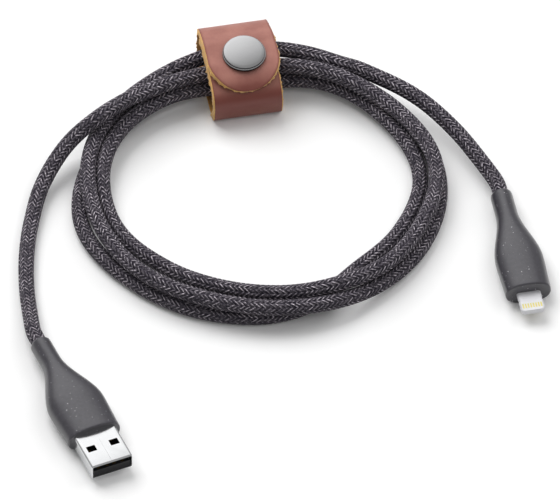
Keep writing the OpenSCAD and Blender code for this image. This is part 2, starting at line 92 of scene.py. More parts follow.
def wire(
    node: bpy.types.Node, settings: dict[Any, Any] | None = None, links: dict[Any, Source] | None = None
) -> bpy.types.Node:
    """Set a shader node's values and feed its inputs.

    Args:
        node: Node to set up.
        settings: Node properties or input sockets by name or number, with their values.
        links: Input sockets by name or number, with what feeds them: an output, or a node for its first.

    Returns:
        The same node.
    """
    for key, value in (settings or {}).items():
        if isinstance(key, str) and key in node.bl_rna.properties:
            setattr(node, key, value)
        else:
            node.inputs[key].default_value = value
    for key, source in (links or {}).items():
        output = source.outputs[0] if isinstance(source, bpy.types.Node) else source
        node.id_data.links.new(output, node.inputs[key])
    return node


def add_node(
    tree: bpy.types.NodeTree,
    kind: str,
    settings: dict[Any, Any] | None = None,
    links: dict[Any, Source] | None = None,
) -> bpy.types.Node:
    """Add one shader node.

    Args:
        tree: Material's node tree.
        kind: Node type's identifier, without its "ShaderNode".
        settings: Its values, as wire takes them.
        links: What feeds it, as wire takes them.

    Returns:
        The new node.
    """
    return wire(tree.nodes.new(f"ShaderNode{kind}"), settings, links)


def smooth_curve(points: np.ndarray, steps: int) -> np.ndarray:
    """Run a smooth curve through points; the first and last ones only steer its ends.

    Args:
        points: Points, one a row.
        steps: Samples from each point to the next.

    Returns:
        The sampled curve, from the second point to the last but one.
    """
    a, b, c, d = points[:-3], points[1:-2], points[2:-1], points[3:]
    rows = []
    for f in np.arange(steps) / steps:
        rows.append(
            (2 * b + (c - a) * f + (2 * a - 5 * b + 4 * c - d) * f**2 + (3 * b - a - 3 * c + d) * f**3) / 2
        )
    curve = np.stack(rows, axis=1).reshape(-1, points.shape[1])
    return np.vstack([curve, points[-2]])


def evenly(points: np.ndarray, spacing: float) -> np.ndarray:
    """Resample a line at an even spacing.

    Args:
        points: Points of the line.
        spacing: Distance wanted between neighbours.

    Returns:
        The resampled line, with both ends kept.
    """
    run = np.concatenate([[0], np.cumsum(np.linalg.norm(np.diff(points, axis=0), axis=1))])
    places = np.linspace(0, run[-1], int(round(run[-1] / spacing)) + 1)
    return np.stack([np.interp(places, run, points[:, i]) for i in range(points.shape[1])], axis=1)


def softened(points: np.ndarray, window: int) -> np.ndarray:
    """Average a line over a few neighbours, with its ends kept.

    Args:
        points: Points of the line, evenly spaced.
        window: Odd number of points to average over.

    Returns:
        The softened line.
    """
    half = window // 2
    before = 2 * points[0] - points[half:0:-1]
    after = 2 * points[-1] - points[-2 : -half - 2 : -1]
    padded = np.vstack([before, points, after])
    kernel = np.ones(window) / window
    return np.stack([np.convolve(padded[:, i], kernel, "valid") for i in range(points.shape[1])], axis=1)


def ramp(x: float, low: float, high: float) -> float:
    """Rise softly from 0 at low to 1 at high."""
    f = min(1.0, max(0.0, (x - low) / (high - low)))
    return f * f * (3 - 2 * f)


def active(name: str) -> bpy.types.Object:
    """Name the active object and its mesh.

    Args:
        name: Their name.

    Returns:
        The object.
    """
    piece = bpy.context.object
    piece.name = name
    piece.data.name = name
    return piece


def only(piece: bpy.types.Object) -> None:
    """Select one object and nothing else, and make it active.

    Args:
        piece: The object.
    """
    for other in bpy.context.selected_objects:
        other.select_set(False)
    piece.select_set(True)
    bpy.context.view_layer.objects.active = piece


def settle(piece: bpy.types.Object) -> None:
    """Move an object's place into its mesh."""
    only(piece)
    bpy.ops.object.transform_apply(location=True, rotation=True, scale=True)


def finish_modifier(piece: bpy.types.Object, kind: str, **settings: Any) -> None:
    """Add a modifier to a piece and apply it.

    Args:
        piece: Object that gets it.
        kind: Modifier's type.
        settings: Its properties.
    """
    only(piece)
    modifier = piece.modifiers.new(kind.lower(), kind)
    for key, value in settings.items():
        setattr(modifier, key, value)
    bpy.ops.object.modifier_apply(modifier=modifier.name)


def cut(piece: bpy.types.Object, cutter: bpy.types.Object) -> None:
    """Take a cutter's shape out of a piece and throw the cutter away."""
    finish_modifier(piece, "BOOLEAN", operation="DIFFERENCE", solver="EXACT", object=cutter)
    bpy.data.objects.remove(cutter, do_unlink=True)


def smooth_shaded(piece: bpy.types.Object, degrees: float = 35) -> None:
    """Shade a piece smooth, but for edges sharper than an angle."""
    only(piece)
    bpy.ops.object.shade_smooth_by_angle(angle=math.radians(degrees))


def closed_outwards(piece: bpy.types.Object) -> None:
    """Merge a piece's doubles and turn its faces outwards.

    Args:
        piece: The piece.
    """
    only(piece)
    bpy.ops.object.mode_set(mode="EDIT")
    bpy.ops.mesh.select_all(action="SELECT")
    bpy.ops.mesh.remove_doubles(threshold=1e-6)
    bpy.ops.mesh.normals_make_consistent(inside=False)
    bpy.ops.object.mode_set(mode="OBJECT")


def round_edges(
    piece: bpy.types.Object, chosen: Callable[[Vector, Vector], bool], radius: float, segments: int
) -> None:
    """Round those edges of a piece that a test picks.

    Args:
        piece: The piece.
        chosen: Test of an edge's two ends, given in millimetres.
        radius: Radius of the round, in millimetres.
        segments: Steps in the round.
    """
    only(piece)
    bpy.ops.object.mode_set(mode="EDIT")
    bpy.ops.mesh.select_all(action="DESELECT")
    bpy.ops.object.mode_set(mode="OBJECT")
    for edge in piece.data.edges:
        edge.select = chosen(*(piece.data.vertices[i].co / MM for i in edge.vertices))
    bpy.ops.object.mode_set(mode="EDIT")
    bpy.ops.mesh.bevel(offset=radius * MM, segments=segments)
    bpy.ops.object.mode_set(mode="OBJECT")


def block(name: str, middle: Sequence[float], size: Sequence[float]) -> bpy.types.Object:
    """Add a box, with its place and size in its mesh.

    Args:
        name: The box's name.
        middle: Its middle, in millimetres.
        size: Its length, width and height, in millimetres.

    Returns:
        The box.
    """
    bpy.ops.mesh.primitive_cube_add(size=1, location=[v * MM for v in middle])
    box = active(name)
    box.scale = [v * MM for v in size]
    settle(box)
    return box


def bar(
    name: str, span: tuple[float, float], size: tuple[float, float], corner: float, segments: int
) -> bpy.types.Object:
    """Add a bar along X with its long edges rounded.

    Args:
        name: The bar's name.
        span: Where it begins and ends, in millimetres.
        size: Its width and height, in millimetres.
        corner: Radius of its long edges, in millimetres.
        segments: Steps in that radius.

    Returns:
        The bar.
    """
    made = block(name, (sum(span) / 2, 0, 0), (span[1] - span[0], *size))
    round_edges(made, lambda a, b: abs(a.x - b.x) > max(abs(a.y - b.y), abs(a.z - b.z)), corner, segments)
    return made


def set_down(piece: bpy.types.Object, exit_place: Sequence[float], heading: float) -> None:
    """Put a plug's piece, made along X from the cord's exit, in its place on the table.

    Args:
        piece: The piece.
        exit_place: The cord's exit, in millimetres.
        heading: Way that the plug points, in degrees from +X.
    """
    piece.rotation_euler = (0, 0, math.radians(heading))
    piece.location = [v * MM for v in exit_place]
    settle(piece)


def count(piece: bpy.types.Object) -> int:
    """Count a piece's triangles."""
    return sum(len(polygon.vertices) - 2 for polygon in piece.data.polygons)


def stand_for(piece: bpy.types.Object, body: Body, slot: str, *nodes: str) -> None:
    """Let a piece ride on a body in its CAD nodes' place, and report it.

    Args:
        piece: The finished piece.
        body: Body that carries it.
        slot: Its material slot; not used.
        nodes: CAD nodes that it replaces.
    """
    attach(piece, body.value)
    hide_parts(*nodes)
    log.info("%s: %d triangles", piece.name, count(piece))


# ------------------------------------------------------------------ finishes


@dataclass(frozen=True)
class Finish:
    """A material that one of the object's surfaces wears."""

    name: str

    def material(self) -> bpy.types.Material:
        """Make the material.

        Returns:
            The finished material.
        """
        made = bpy.data.materials.new(self.name)
        made.use_nodes = True
        tree = made.node_tree
        tree.nodes.clear()
        shader = add_node(tree, "BsdfPrincipled")
        output = add_node(tree, "OutputMaterial", links={"Surface": shader})
        output.is_active_output = True
        self.dress(tree, shader)
        return made

    def dress(self, tree: bpy.types.NodeTree, shader: bpy.types.Node) -> None:
        """Set the shader up; each finish has its own."""
        raise NotImplementedError


@dataclass(frozen=True)
class BraidedNylon(Finish):
    """Braided nylon yarn: near-black floats in a herringbone, each with one pale tracer filament."""

    # dark is the painted shade in the creases at the floats' ends; warm is the yarn's own near-black.
    dark: str = "#0c0913"
    warm: str = "#26222f"
    pale: str = "#faf0fa"
    slope: float = 1.3  # floats that a strand climbs across its column
    strands: float = 3.0  # strands side by side in a float, one of them the tracer
    dull: float = 0.2  # how pale the other strands are beside the tracer
    dips: float = 2.3  # dips out of sight for each float along the cord
    filament: float = 0.35  # a strand's height beside its float's
    wear: tuple[float, float] = (0.2, 1.15)  # how pale the dullest and the brightest strand are
    hiding: tuple[float, float] = (0.36, 0.6)  # noise under which a strand hides, and over which it shows
    hidden: float = 0.15  # how pale a strand is where it hides
    narrowing: float = 1.1  # how sharply a strand's tone falls off to its sides
    edge_shade: tuple[float, float] = (0.25, 0.45)  # tracers' painted shade in a column's valley, and where they are full again
    relief: float = 0.2 * MM

    def dress(self, tree: bpy.types.NodeTree, shader: bpy.types.Node) -> None:
        """Draw floats and filaments on the cord's own map, with painted shade in the creases between them:
        X counts floats, Y counts columns.

        Args:
            tree: Material's node tree.
            shader: Its principled shader.
        """
        place = add_node(tree, "UVMap", {"uv_map": "braid"})
        axes = add_node(tree, "SeparateXYZ", links={0: place})
        column = add_node(tree, "Math", {"operation": "FLOOR"}, {0: axes.outputs[1]})
        side = add_node(tree, "Math", {"operation": "FLOORED_MODULO", 1: 2.0}, {0: column})
        lean = add_node(
            tree, "Math", {"operation": "MULTIPLY_ADD", 1: 2 * self.slope, 2: -self.slope}, {0: side}
        )
        within = add_node(tree, "Math", {"operation": "FRACT"}, {0: axes.outputs[1]})
        across = add_node(tree, "Math", {"operation": "SUBTRACT", 1: 0.5}, {0: within})
        phase = add_node(tree, "Math", {"operation": "MULTIPLY_ADD"}, {0: across, 1: lean, 2: axes})
        strand = add_node(tree, "Math", {"operation": "MULTIPLY", 1: self.strands}, {0: phase})
        strand_id = add_node(tree, "Math", {"operation": "FLOOR"}, {0: strand})
        turn = add_node(tree, "Math", {"operation": "FLOORED_MODULO", 1: self.strands}, {0: strand_id})
        tracer = add_node(tree, "Math", {"operation": "COMPARE", 1: 1.0, 2: 0.5}, {0: turn})
        weight = add_node(
            tree, "Math", {"operation": "MULTIPLY_ADD", 1: 1 - self.dull, 2: self.dull}, {0: tracer}
        )
        key = add_node(tree, "CombineXYZ", links={0: strand_id, 1: column})
        chance = add_node(tree, "TexWhiteNoise", {"noise_dimensions": "2D"}, {"Vector": key})
        dullest, brightest = self.wear
        worn = add_node(tree, "MapRange", {"To Min": dullest, "To Max": brightest}, {"Value": chance})
        strand_round, float_round, column_round = (
            self.dome(tree, count_along) for count_along in (strand, phase, axes.outputs[1])
        )
        breaks = add_node(
            tree, "TexNoise",
            {"noise_dimensions": "2D", "Scale": self.dips, "Detail": 2.0},
            {"Vector": place},
        )
        kept = add_node(
            tree, "MapRange",
            {"From Min": self.hiding[0], "From Max": self.hiding[1], "To Min": self.hidden},
            {"Value": breaks},
        )
        lit = add_node(tree, "Math", {"operation": "MULTIPLY"}, {0: worn, 1: weight})
        fleck = add_node(tree, "Math", {"operation": "MULTIPLY"}, {0: lit, 1: kept})
        thin = add_node(tree, "Math", {"operation": "POWER", 1: self.narrowing}, {0: strand_round})
        fleck_round = add_node(tree, "Math", {"operation": "MULTIPLY"}, {0: fleck, 1: thin})
        # Partly painted shade: the tracers dim in the valley between columns, where they also tuck under.
        edge = add_node(
            tree, "MapRange", {"To Min": self.edge_shade[0], "From Max": self.edge_shade[1]},
            {"Value": column_round},
        )
        tuck = add_node(tree, "Math", {"operation": "MULTIPLY"}, {0: fleck_round, 1: edge})
        # Painted shade: each float darkens towards its ends, in the crease where it dips under the next.
        ground = add_node(
            tree, "Mix", {"data_type": "RGBA", "A": linear(self.dark), "B": linear(self.warm)},
            {0: float_round},
        )
        colour = add_node(
            tree, "Mix", {"data_type": "RGBA", "B": linear(self.pale)},
            {0: tuck, "A": ground.outputs["Result"]},
        )
        high = add_node(
            tree, "Math", {"operation": "MULTIPLY_ADD", 1: self.filament}, {0: strand_round, 2: float_round}
        )
        height = add_node(tree, "Math", {"operation": "MULTIPLY"}, {0: high, 1: column_round})
        bump = add_node(tree, "Bump", {"Strength": 1.0, "Distance": self.relief}, {"Height": height})
        wire(
            shader,
            {"Roughness": 0.6, "Specular IOR Level": 0.16, "Sheen Weight": 0.03, "Sheen Roughness": 0.4},
            {"Base Color": colour.outputs["Result"], "Normal": bump},
        )

    @staticmethod
    def dome(tree: bpy.types.NodeTree, count_along: Source) -> bpy.types.Node:
        """Turn a running count into a row of domes, 0 at whole numbers and 1 halfway between.

        Args:
            tree: Material's node tree.
            count_along: The running count.

        Returns:
            The node that gives the domes.
        """
        turned = add_node(tree, "Math", {"operation": "MULTIPLY", 1: math.pi}, {0: count_along})
        wave = add_node(tree, "Math", {"operation": "SINE"}, {0: turned})
        return add_node(tree, "Math", {"operation": "ABSOLUTE"}, {0: wave})


@dataclass(frozen=True)
class Specks:
    """Specks of one size and tone in a plastic."""

    spacing: float  # distance between neighbours
    rarity: float  # share of the places that stay bare
    reach: float  # largest speck's radius, as a share of the spacing
    tone: str
    dimmest: float = 0.25  # how pale the faintest speck is

    def over(self, tree: bpy.types.NodeTree, place: Source, ground: Source) -> bpy.types.NodeSocket:
        """Scatter the specks over a colour.

        Args:
            tree: Material's node tree.
            place: Texture coordinates.
            ground: Colour underneath.

        Returns:
            The output that carries the speckled colour.
        """
        cells = add_node(
            tree, "TexVoronoi", {"Scale": 1 / self.spacing, "Randomness": 1.0}, {"Vector": place}
        )
        parts = add_node(tree, "SeparateColor", links={0: cells.outputs["Color"]})
        size = add_node(
            tree, "MapRange", {"From Min": self.rarity, "To Max": self.reach}, {"Value": parts}
        )
        inside = add_node(tree, "Math", {"operation": "LESS_THAN"}, {0: cells.outputs["Distance"], 1: size})
        bright = add_node(tree, "MapRange", {"To Min": self.dimmest}, {"Value": parts.outputs[1]})
        shown = add_node(tree, "Math", {"operation": "MULTIPLY"}, {0: inside, 1: bright})
        mixed = add_node(
            tree, "Mix", {"data_type": "RGBA", "B": linear(self.tone)}, {0: shown, "A": ground}
        )
        return mixed.outputs["Result"]


@dataclass(frozen=True)
class SpeckledHousing(Finish):
    """Moulded polycarbonate blend: matte charcoal with fine pale specks in the pellets."""

    charcoal: str = "#39373f"
    shade: str = "#2c2a31"
    haze: Specks = Specks(0.42 * MM, 0.72, 0.17, "#8d8a90")
    specks: Specks = Specks(0.7 * MM, 0.62, 0.2, "#e4e1e6")
    cloud: float = 0.9 * MM
    grain: float = 0.12 * MM
    grain_depth: float = 0.02 * MM

    def dress(self, tree: bpy.types.NodeTree, shader: bpy.types.Node) -> None:
        """Scatter specks in object space and give the face a fine spark-eroded grain.

        Args:
            tree: Material's node tree.
            shader: Its principled shader.
        """
        place = add_node(tree, "TexCoord").outputs["Object"]
        cloud = add_node(
            tree, "TexNoise", {"Scale": 1 / self.cloud, "Detail": 4.0, "Roughness": 0.65}, {"Vector": place}
        )
        spread = add_node(tree, "MapRange", {"From Min": 0.35, "From Max": 0.65}, {"Value": cloud})
        ground = add_node(
            tree, "Mix", {"data_type": "RGBA", "A": linear(self.shade), "B": linear(self.charcoal)},
            {0: spread},
        )
        hazy = self.haze.over(tree, place, ground.outputs["Result"])
        colour = self.specks.over(tree, place, hazy)
        fine = add_node(tree, "TexNoise", {"Scale": 1 / self.grain, "Detail": 2.0}, {"Vector": place})
        bump = add_node(tree, "Bump", {"Strength": 0.25, "Distance": self.grain_depth}, {"Height": fine})
        wire(
            shader,
            {
                "Roughness": 0.34, "IOR": 1.5, "Specular IOR Level": 1.0,
                "Coat Weight": 0.8, "Coat Roughness": 0.3,
            },
            {"Base Color": colour, "Normal": bump},
        )


@dataclass(frozen=True)
class Leather(Finish):
    """Leather: a base tone with slow variation and painted shade, a pebble or a nap, and its own gloss."""

    light: str
    deep: str
    border: str  # burnished line beside a cut
    painted_shade_tone: str  # painted shade, where the leather turns away from the light
    pebble: float
    depth: float
    patch: float
    roughness: float
    sheen: float = 0.0
    burnish: float = 0.75  # strength of the line beside a cut
    burnished: tuple[float, float] = (0.1, 0.7)  # where it starts to fade and is gone, in millimetres

    def dress(self, tree: bpy.types.NodeTree, shader: bpy.types.Node) -> None:
        """Mix two tones over the hide, paint shade where it turns away from the light, darken it along its
        cut edge and raise its grain.

        Args:
            tree: Material's node tree.
            shader: Its principled shader.
        """
        place = add_node(tree, "TexCoord").outputs["Object"]
        hide = add_node(
            tree, "TexNoise", {"Scale": 1 / self.patch, "Detail": 5.0, "Roughness": 0.65}, {"Vector": place}
        )
        spread = add_node(tree, "MapRange", {"From Min": 0.35, "From Max": 0.65}, {"Value": hide})
        tone = add_node(
            tree, "Mix", {"data_type": "RGBA", "A": linear(self.deep), "B": linear(self.light)}, {0: spread}
        )
        inset = add_node(tree, "Attribute", {"attribute_name": "inset"})
        near, far = self.burnished
        burnish = add_node(
            tree, "MapRange", {"From Min": near, "From Max": far, "To Min": self.burnish, "To Max": 0.0},
            {"Value": inset.outputs["Fac"]},
        )
        # Painted shade: the strap's shade attribute mixes in a darker tone where the leather turns away
        # from the light.
        shade = add_node(tree, "Attribute", {"attribute_name": "shade"})
        painted_shade_mix = add_node(
            tree, "Mix", {"data_type": "RGBA", "B": linear(self.painted_shade_tone)},
            {0: shade.outputs["Fac"], "A": tone.outputs["Result"]},
        )
        colour = add_node(
            tree, "Mix", {"data_type": "RGBA", "B": linear(self.border)},
            {0: burnish, "A": painted_shade_mix.outputs["Result"]},
        )
        pebbles = add_node(
            tree, "TexVoronoi", {"Scale": 1 / self.pebble, "feature": "SMOOTH_F1"}, {"Vector": place}
        )
        nap = add_node(tree, "TexNoise", {"Scale": 2 / self.pebble, "Detail": 4.0}, {"Vector": place})
        grain = add_node(tree, "Math", {"operation": "ADD"}, {0: pebbles, 1: nap})
        bump = add_node(tree, "Bump", {"Strength": 0.6, "Distance": self.depth}, {"Height": grain})
        wire(
            shader,
            {"Roughness": self.roughness, "Sheen Weight": self.sheen},
            {"Base Color": colour.outputs["Result"], "Normal": bump},
        )


@dataclass(frozen=True)
class Metal(Finish):
    """A metal: drawn, plated or stamped, with a faint cloud in its gloss."""

    tone: str
    roughness: float
    line: float = 0.4 * MM
    depth: float = 0.004 * MM
    metallic: float = 1.0
    cloud: tuple[float, float] = (0.8, 1.25)  # least and most roughness, as shares of its own

    def dress(self, tree: bpy.types.NodeTree, shader: bpy.types.Node) -> None:
        """Vary the gloss over the metal as working it has left it.

        Args:
            tree: Material's node tree.
            shader: Its principled shader.
        """
        place = add_node(tree, "TexCoord").outputs["Object"]
        lines = add_node(tree, "TexNoise", {"Scale": 1 / self.line, "Detail": 3.0}, {"Vector": place})
        least, most = (self.roughness * share for share in self.cloud)
        gloss = add_node(tree, "MapRange", {"To Min": least, "To Max": most}, {"Value": lines})
        bump = add_node(tree, "Bump", {"Strength": 0.5, "Distance": self.depth}, {"Height": lines})
        wire(
            shader,
            {"Base Color": linear(self.tone), "Metallic": self.metallic},
            {"Roughness": gloss, "Normal": bump},
        )


@dataclass(frozen=True)
class Moulded(Finish):
    """A plain moulded plastic, lacquer or wire insulation with a faint orange peel."""

    tone: str
    roughness: float
    peel: float = 0.5 * MM
    peel_depth: float = 0.01 * MM
    drift: float = 0.9  # darker tone's share of the paler one

    def dress(self, tree: bpy.types.NodeTree, shader: bpy.types.Node) -> None:
        """Give the plastic its peel and a slow drift in tone.

        Args:
            tree: Material's node tree.
            shader: Its principled shader.
        """
        place = add_node(tree, "TexCoord").outputs["Object"]
        peel = add_node(tree, "TexNoise", {"Scale": 1 / self.peel, "Detail": 2.0}, {"Vector": place})
        tone = linear(self.tone)
        darker = (*(channel * self.drift for channel in tone[:3]), 1.0)
        colour = add_node(tree, "Mix", {"data_type": "RGBA", "A": darker, "B": tone}, {0: peel})
        bump = add_node(tree, "Bump", {"Strength": 0.3, "Distance": self.peel_depth}, {"Height": peel})
        wire(
            shader,
            {"Roughness": self.roughness},
            {"Base Color": colour.outputs["Result"], "Normal": bump},
        )


# Braided nylon scatters light softly and its tracers catch it along their length, so the cord reads as
# rows of fine pale V shapes on near-black. The floats are drawn coarser than real yarn, so that they show.
BRAID = BraidedNylon("braided nylon yarn")

# Spark-eroded moulding: broad, soft highlights and no sharp reflection. Pellets of a paler blend leave
# crisp specks, and finer ones a haze; both are a little coarser than real, so that they show.
HOUSING = SpeckledHousing("moulded speckled polycarbonate")

# Finished grain: a closed, waxed red-brown face with a low sheen, with painted shade that makes it duller
# and redder where it turns away from the light, and a dark burnished line along each cut. Its pebble is
# drawn coarser than real, so that it shows.
GRAIN_LEATHER = Leather(
    "finished grain leather", "#af796d", "#9c675d", "#7d463b", "#854339",
    pebble=0.5 * MM, depth=0.03 * MM, patch=7 * MM, roughness=0.4,
)
# Raw cut edge: open tan fibres that scatter light and show no gloss at all.
CUT_LEATHER = Leather(
    "raw cut leather edge", "#ffc98c", "#cf8e4a", "#f0bd66", "#e8b260",
    pebble=0.3 * MM, depth=0.2 * MM, patch=0.6 * MM, roughness=0.9, sheen=0.3,
)
# Suede flesh side: a short nap, darker tan than the cut, with a soft rim of light.
FLESH_LEATHER = Leather(
    "suede flesh side", "#e3ad62", "#b47b40", "#d09a52", "#b47b40",
    pebble=0.35 * MM, depth=0.1 * MM, patch=1.5 * MM, roughness=0.95, sheen=0.3,
)

# Nickel over stamped steel mirrors the room a little softly; its cloud is too fine to see, and is drawn
# coarser, as on the other plated metals below.
SHELL_STEEL = Metal("nickel-plated stamped steel", "#f3f4f5", 0.2, 2.0 * MM, 0.002 * MM)
# Blasted before plating, so it scatters most of the light and stays pale from every side.
TAB_STEEL = Metal("satin plated steel tab", "#ececef", 0.4, 1.5 * MM, 0.002 * MM, metallic=0.3)
# Satin nickel shows the bright wall as one soft gradient across the crown.
NICKEL = Metal("satin nickel cap", "#d2d2d3", 0.17, 1.5 * MM, 0.002 * MM)
# The turned-in rim mirrors mostly the leather and the table, and its tone is darkened as painted shade, so
# it reads as a dark line.
PAINTED_SHADE_NICKEL = Metal("polished nickel rim with painted shade", "#3a393c", 0.18, 1.5 * MM, 0.002 * MM)
# Hard gold plate: a warm, even yellow on the open contacts.
GOLD = Metal("gold plate", "#efe088", 0.3, 1.0 * MM, 0.002 * MM)
# Gold plate deep in the shell, its tone darkened as painted shade: a dull brassy glint.
SHADED_GOLD = Metal("gold plate on sprung contacts with painted shade", "#6b5730", 0.5, 1.0 * MM, 0.002 * MM)
# Drawn wire: grey with fine lines in its gloss.
SPRING_STEEL = Metal("drawn spring wire", "#9a9c9e", 0.35)
# Tinned sheet: pale grey, slightly clouded.
TIN = Metal("tinned sheet", "#c4c6c8", 0.35)
# Glass-filled nylon: black with a broad dull gloss.
TONGUE_NYLON = Moulded("black moulded nylon", "#1d1d20", 0.4)
# Insert moulding: near white and smooth, level with the metal round it.
INLAY_PLASTIC = Moulded("pale moulded inlay", "#eceded", 0.3)
# Uncoloured polymer: cream, waxy and hardly glossy.
NATURAL_POLYMER = Moulded("natural moulded polymer", "#e6e3da", 0.5)
# Extruded insulation: saturated red with a clear gloss.
INSULATION = Moulded("wire insulation", "#c0392b", 0.35)
# Extruded jacket: black and rubbery, with little gloss.
CORE_JACKET = Moulded("smooth inner jacket", "#1d1d20", 0.5)
# Cured lacquer: deep green with a wet gloss.
BOARD_LACQUER = Moulded("green solder lacquer", "#1f5a3a", 0.3)

NODE_FINISHES = {
    "usb_tongue": TONGUE_NYLON,
    "usb_contacts": SHADED_GOLD,
    "usb_block": NATURAL_POLYMER,
    "usb_leads": INSULATION,
    "usb_core": CORE_JACKET,
    "tab_frame": TAB_STEEL,
    "tab_inlay": INLAY_PLASTIC,
    "tab_contacts_top": GOLD,
    "tab_contacts_under": GOLD,
    "pin_board": BOARD_LACQUER,
    "pin_can": TIN,
    "pin_block": NATURAL_POLYMER,
    "pin_leads": INSULATION,
    "pin_core": CORE_JACKET,
    "snap_socket": NICKEL,
    "snap_spring": SPRING_STEEL,
    "snap_stud": NICKEL,
    "snap_eyelet": NICKEL,
}


# ------------------------------------------------------------------ cord


@dataclass
class BraidedCord:
    """The cord from plug to plug: a stretch, three turns under the strap, and another stretch.

    The turns' stations are reach from the coil's centre and lift off the table, one for each hour of a
    clock face that has the strap at twelve. They and the two routes are the CAD's own, in millimetres.
    """

    diameter: float = 4.1 * MM
    proud: float = 0.14 * MM  # braid's crests over the diameter
    relief: float = 0.16 * MM  # from a crest down to a valley
    crossing: float = 0.55  # share of the relief that a column keeps between its floats
    columns: int = 10
    around: int = 40  # points in a ring
    float_pitch: float = 1.4 * MM
    ring_spacing: float = 0.45 * MM
    path_spacing: float = 4 * MM  # of the points that the soft cord follows
    tucked: float = 1.0 * MM  # inside each housing
    table_gap: float = 0.02 * MM
    steps: int = 12  # samples from one station to the next
    evened: int = 9  # rings that the route is averaged over
    eased: int = 21  # rings that the settling is averaged over
    rounds: int = 3  # times that loose strands are drawn together
    reach_limit: float = 1.1  # widest gap that is drawn together, in millimetres
    touch_gap: float = 0.05  # gap that touching strands keep, in millimetres
    push_and_pull: tuple[float, float] = (-0.2, 0.12)  # furthest moves in a round, in millimetres
    shares: tuple[float, float] = (0.6, 0.4)  # nearest strand's share of the pull, and the next one's
    upright_share: float = 0.5  # share of a pull that works up or down
    batch: int = 400  # rings that are measured at a time, to spare memory
    calmed: int = 41  # rings that a pull is averaged over
    free: int = 300  # rings by an end over which the pull comes in
    held: float = 0.3  # share of them that stays still first
    centre: tuple[float, float] = (3.0, 18.5)
    usb_exit: tuple[float, float, float] = (-68.5, -25.0, 4.0)
    usb_heading: float = -77.5
    pin_exit: tuple[float, float, float] = (65.3, 6.2, 3.7)
    pin_heading: float = -90.0
    turns: tuple = (
        (
            (43.3, 6.5), (44.2, 6.5), (44.9, 6.0), (46.4, 5.0), (43.7, 4.4), (43.2, 5.2),
            (40.4, 5.2), (37.8, 2.5), (38.6, 0.4), (43.5, 0.3), (46.1, 3.5), (44.5, 3.9),
        ),
        (
            (41.7, 1.9), (44.7, 1.8), (43.1, 1.4), (42.1, 0.4), (37.9, 0.0), (36.2, 0.0),
            (43.0, 0.0), (46.0, 0.0), (48.4, 0.0), (51.9, 0.0), (50.2, 0.0), (48.6, 1.0),
        ),
        (
            (46.8, 2.2), (49.4, 1.2), (48.6, 0.3), (47.5, 0.0), (45.8, 0.0), (45.4, 0.9),
            (46.0, 4.3), (45.1, 4.6), (46.9, 4.4), (48.1, 4.2), (50.7, 4.8), (50.5, 5.6),
        ),
    )
    lead_in: tuple = ((50.8, 9.6), (45.6, 8.5))
    lead_out: tuple = ((49.8, 8.0), (49.7, 7.4), (50.6, 6.6))
    usb_route: tuple = (
        (-69.0, -14.0, 2.9), (-67.9, -2.0, 2.05), (-65.6, 10.5, 2.05), (-62.0, 22.5, 2.1),
        (-56.6, 34.6, 3.4), (-48.0, 44.2, 7.3), (-38.1, 48.5, 12.2),
    )
    pin_route: tuple = ((41.4, 51.8, 8.3), (50.4, 42.3, 7.2), (57.4, 30.6, 6.0), (62.2, 19.2, 4.7))
    # Distance along the cord, and the offset there along X, Y and Z, in millimetres.
    settling: tuple = (
        (118, 0, 0, 0), (134, 0, 0.4, 0.6), (146, 0, 0.4, 0.7), (154, 0, 0.3, 0.5), (175, 0, 0, 0),
        (240, 0, 0, 0), (252, 0, 0.2, 0.35), (258, 0, 0.25, 0.45), (264, 0, 0.05, 0.15),
        (271, 0, -0.15, -0.2), (282, 0, -0.15, -0.2), (296, 0, 0, 0),
        (500, 0, 0, 0), (514, 0, 0.3, 0), (522, 0, 0.6, 0), (530, 0, 0.5, 0), (544, 0, 0, 0),
        (796, 0, 0, 0), (808, 0, 0.15, 0.25), (820, 0, 0.2, 0.3), (832, 0, 0.1, 0.12), (846, 0, 0.1, 0.12),
        (862, 0, 0, 0),
        (984, 0, 0, 0), (996, 0, -0.1, -0.15), (1004, 0, -0.1, -0.15), (1013, -0.1, -0.25, -0.35),
        (1020, -0.3, -0.6, -0.9), (1023, -0.3, -0.65, -1.0),
        (1028, -0.2, -0.4, -0.6), (1036, 0, 0, 0),
    )

    def coil(self) -> np.ndarray:
        """Follow the three turns.

        Returns:
            Points in millimetres.
        """
        stations = np.array([*self.lead_in, *(s for turn in self.turns for s in turn), *self.lead_out])
        reach, lift = smooth_curve(stations, self.steps).T
        hours = np.arange(len(reach)) / self.steps + 1 - len(self.lead_in)
        angle = np.radians(90 - 30 * hours)
        across = self.centre[0] + reach * np.cos(angle)
        away = self.centre[1] + reach * np.sin(angle)
        return np.stack([across, away, self.diameter / MM / 2 + np.maximum(0, lift)], axis=1)

    def centreline(self) -> np.ndarray:
        """Follow the whole cord from the USB plug to the phone plug.

        Returns:
            Evenly spaced points in metres.
        """
        reach = self.diameter / MM
        coil = self.coil()
        into = (coil[1] - coil[0]) / np.linalg.norm(coil[1] - coil[0])
        out = (coil[-1] - coil[-2]) / np.linalg.norm(coil[-1] - coil[-2])
        usb_out = -self.direction(self.usb_heading)
        pin_in = self.direction(self.pin_heading)
        usb_exit, pin_exit = np.array(self.usb_exit), np.array(self.pin_exit)
        coil_in, coil_out = coil[0] - reach * into, coil[-1] + reach * out
        usb_from, usb_to = usb_exit + reach * usb_out, coil_in - reach * into
        pin_from, pin_to = coil_out + reach * out, pin_exit - reach * pin_in
        usb_points = [usb_exit, usb_from, *self.usb_route, usb_to, coil_in]
        pin_points = [coil_out, pin_from, *self.pin_route, pin_to, pin_exit]
        usb_stretch, pin_stretch = (smooth_curve(np.array(p), self.steps) for p in (usb_points, pin_points))
        tuck = self.tucked / MM
        first, last = usb_exit - tuck * usb_out, pin_exit + tuck * pin_in
        line = np.vstack([first, usb_stretch, coil_in, coil, coil_out, pin_stretch, last])
        even = softened(evenly(line, self.ring_spacing / MM), self.evened)
        return self.drawn_together(self.settled(even)) * MM

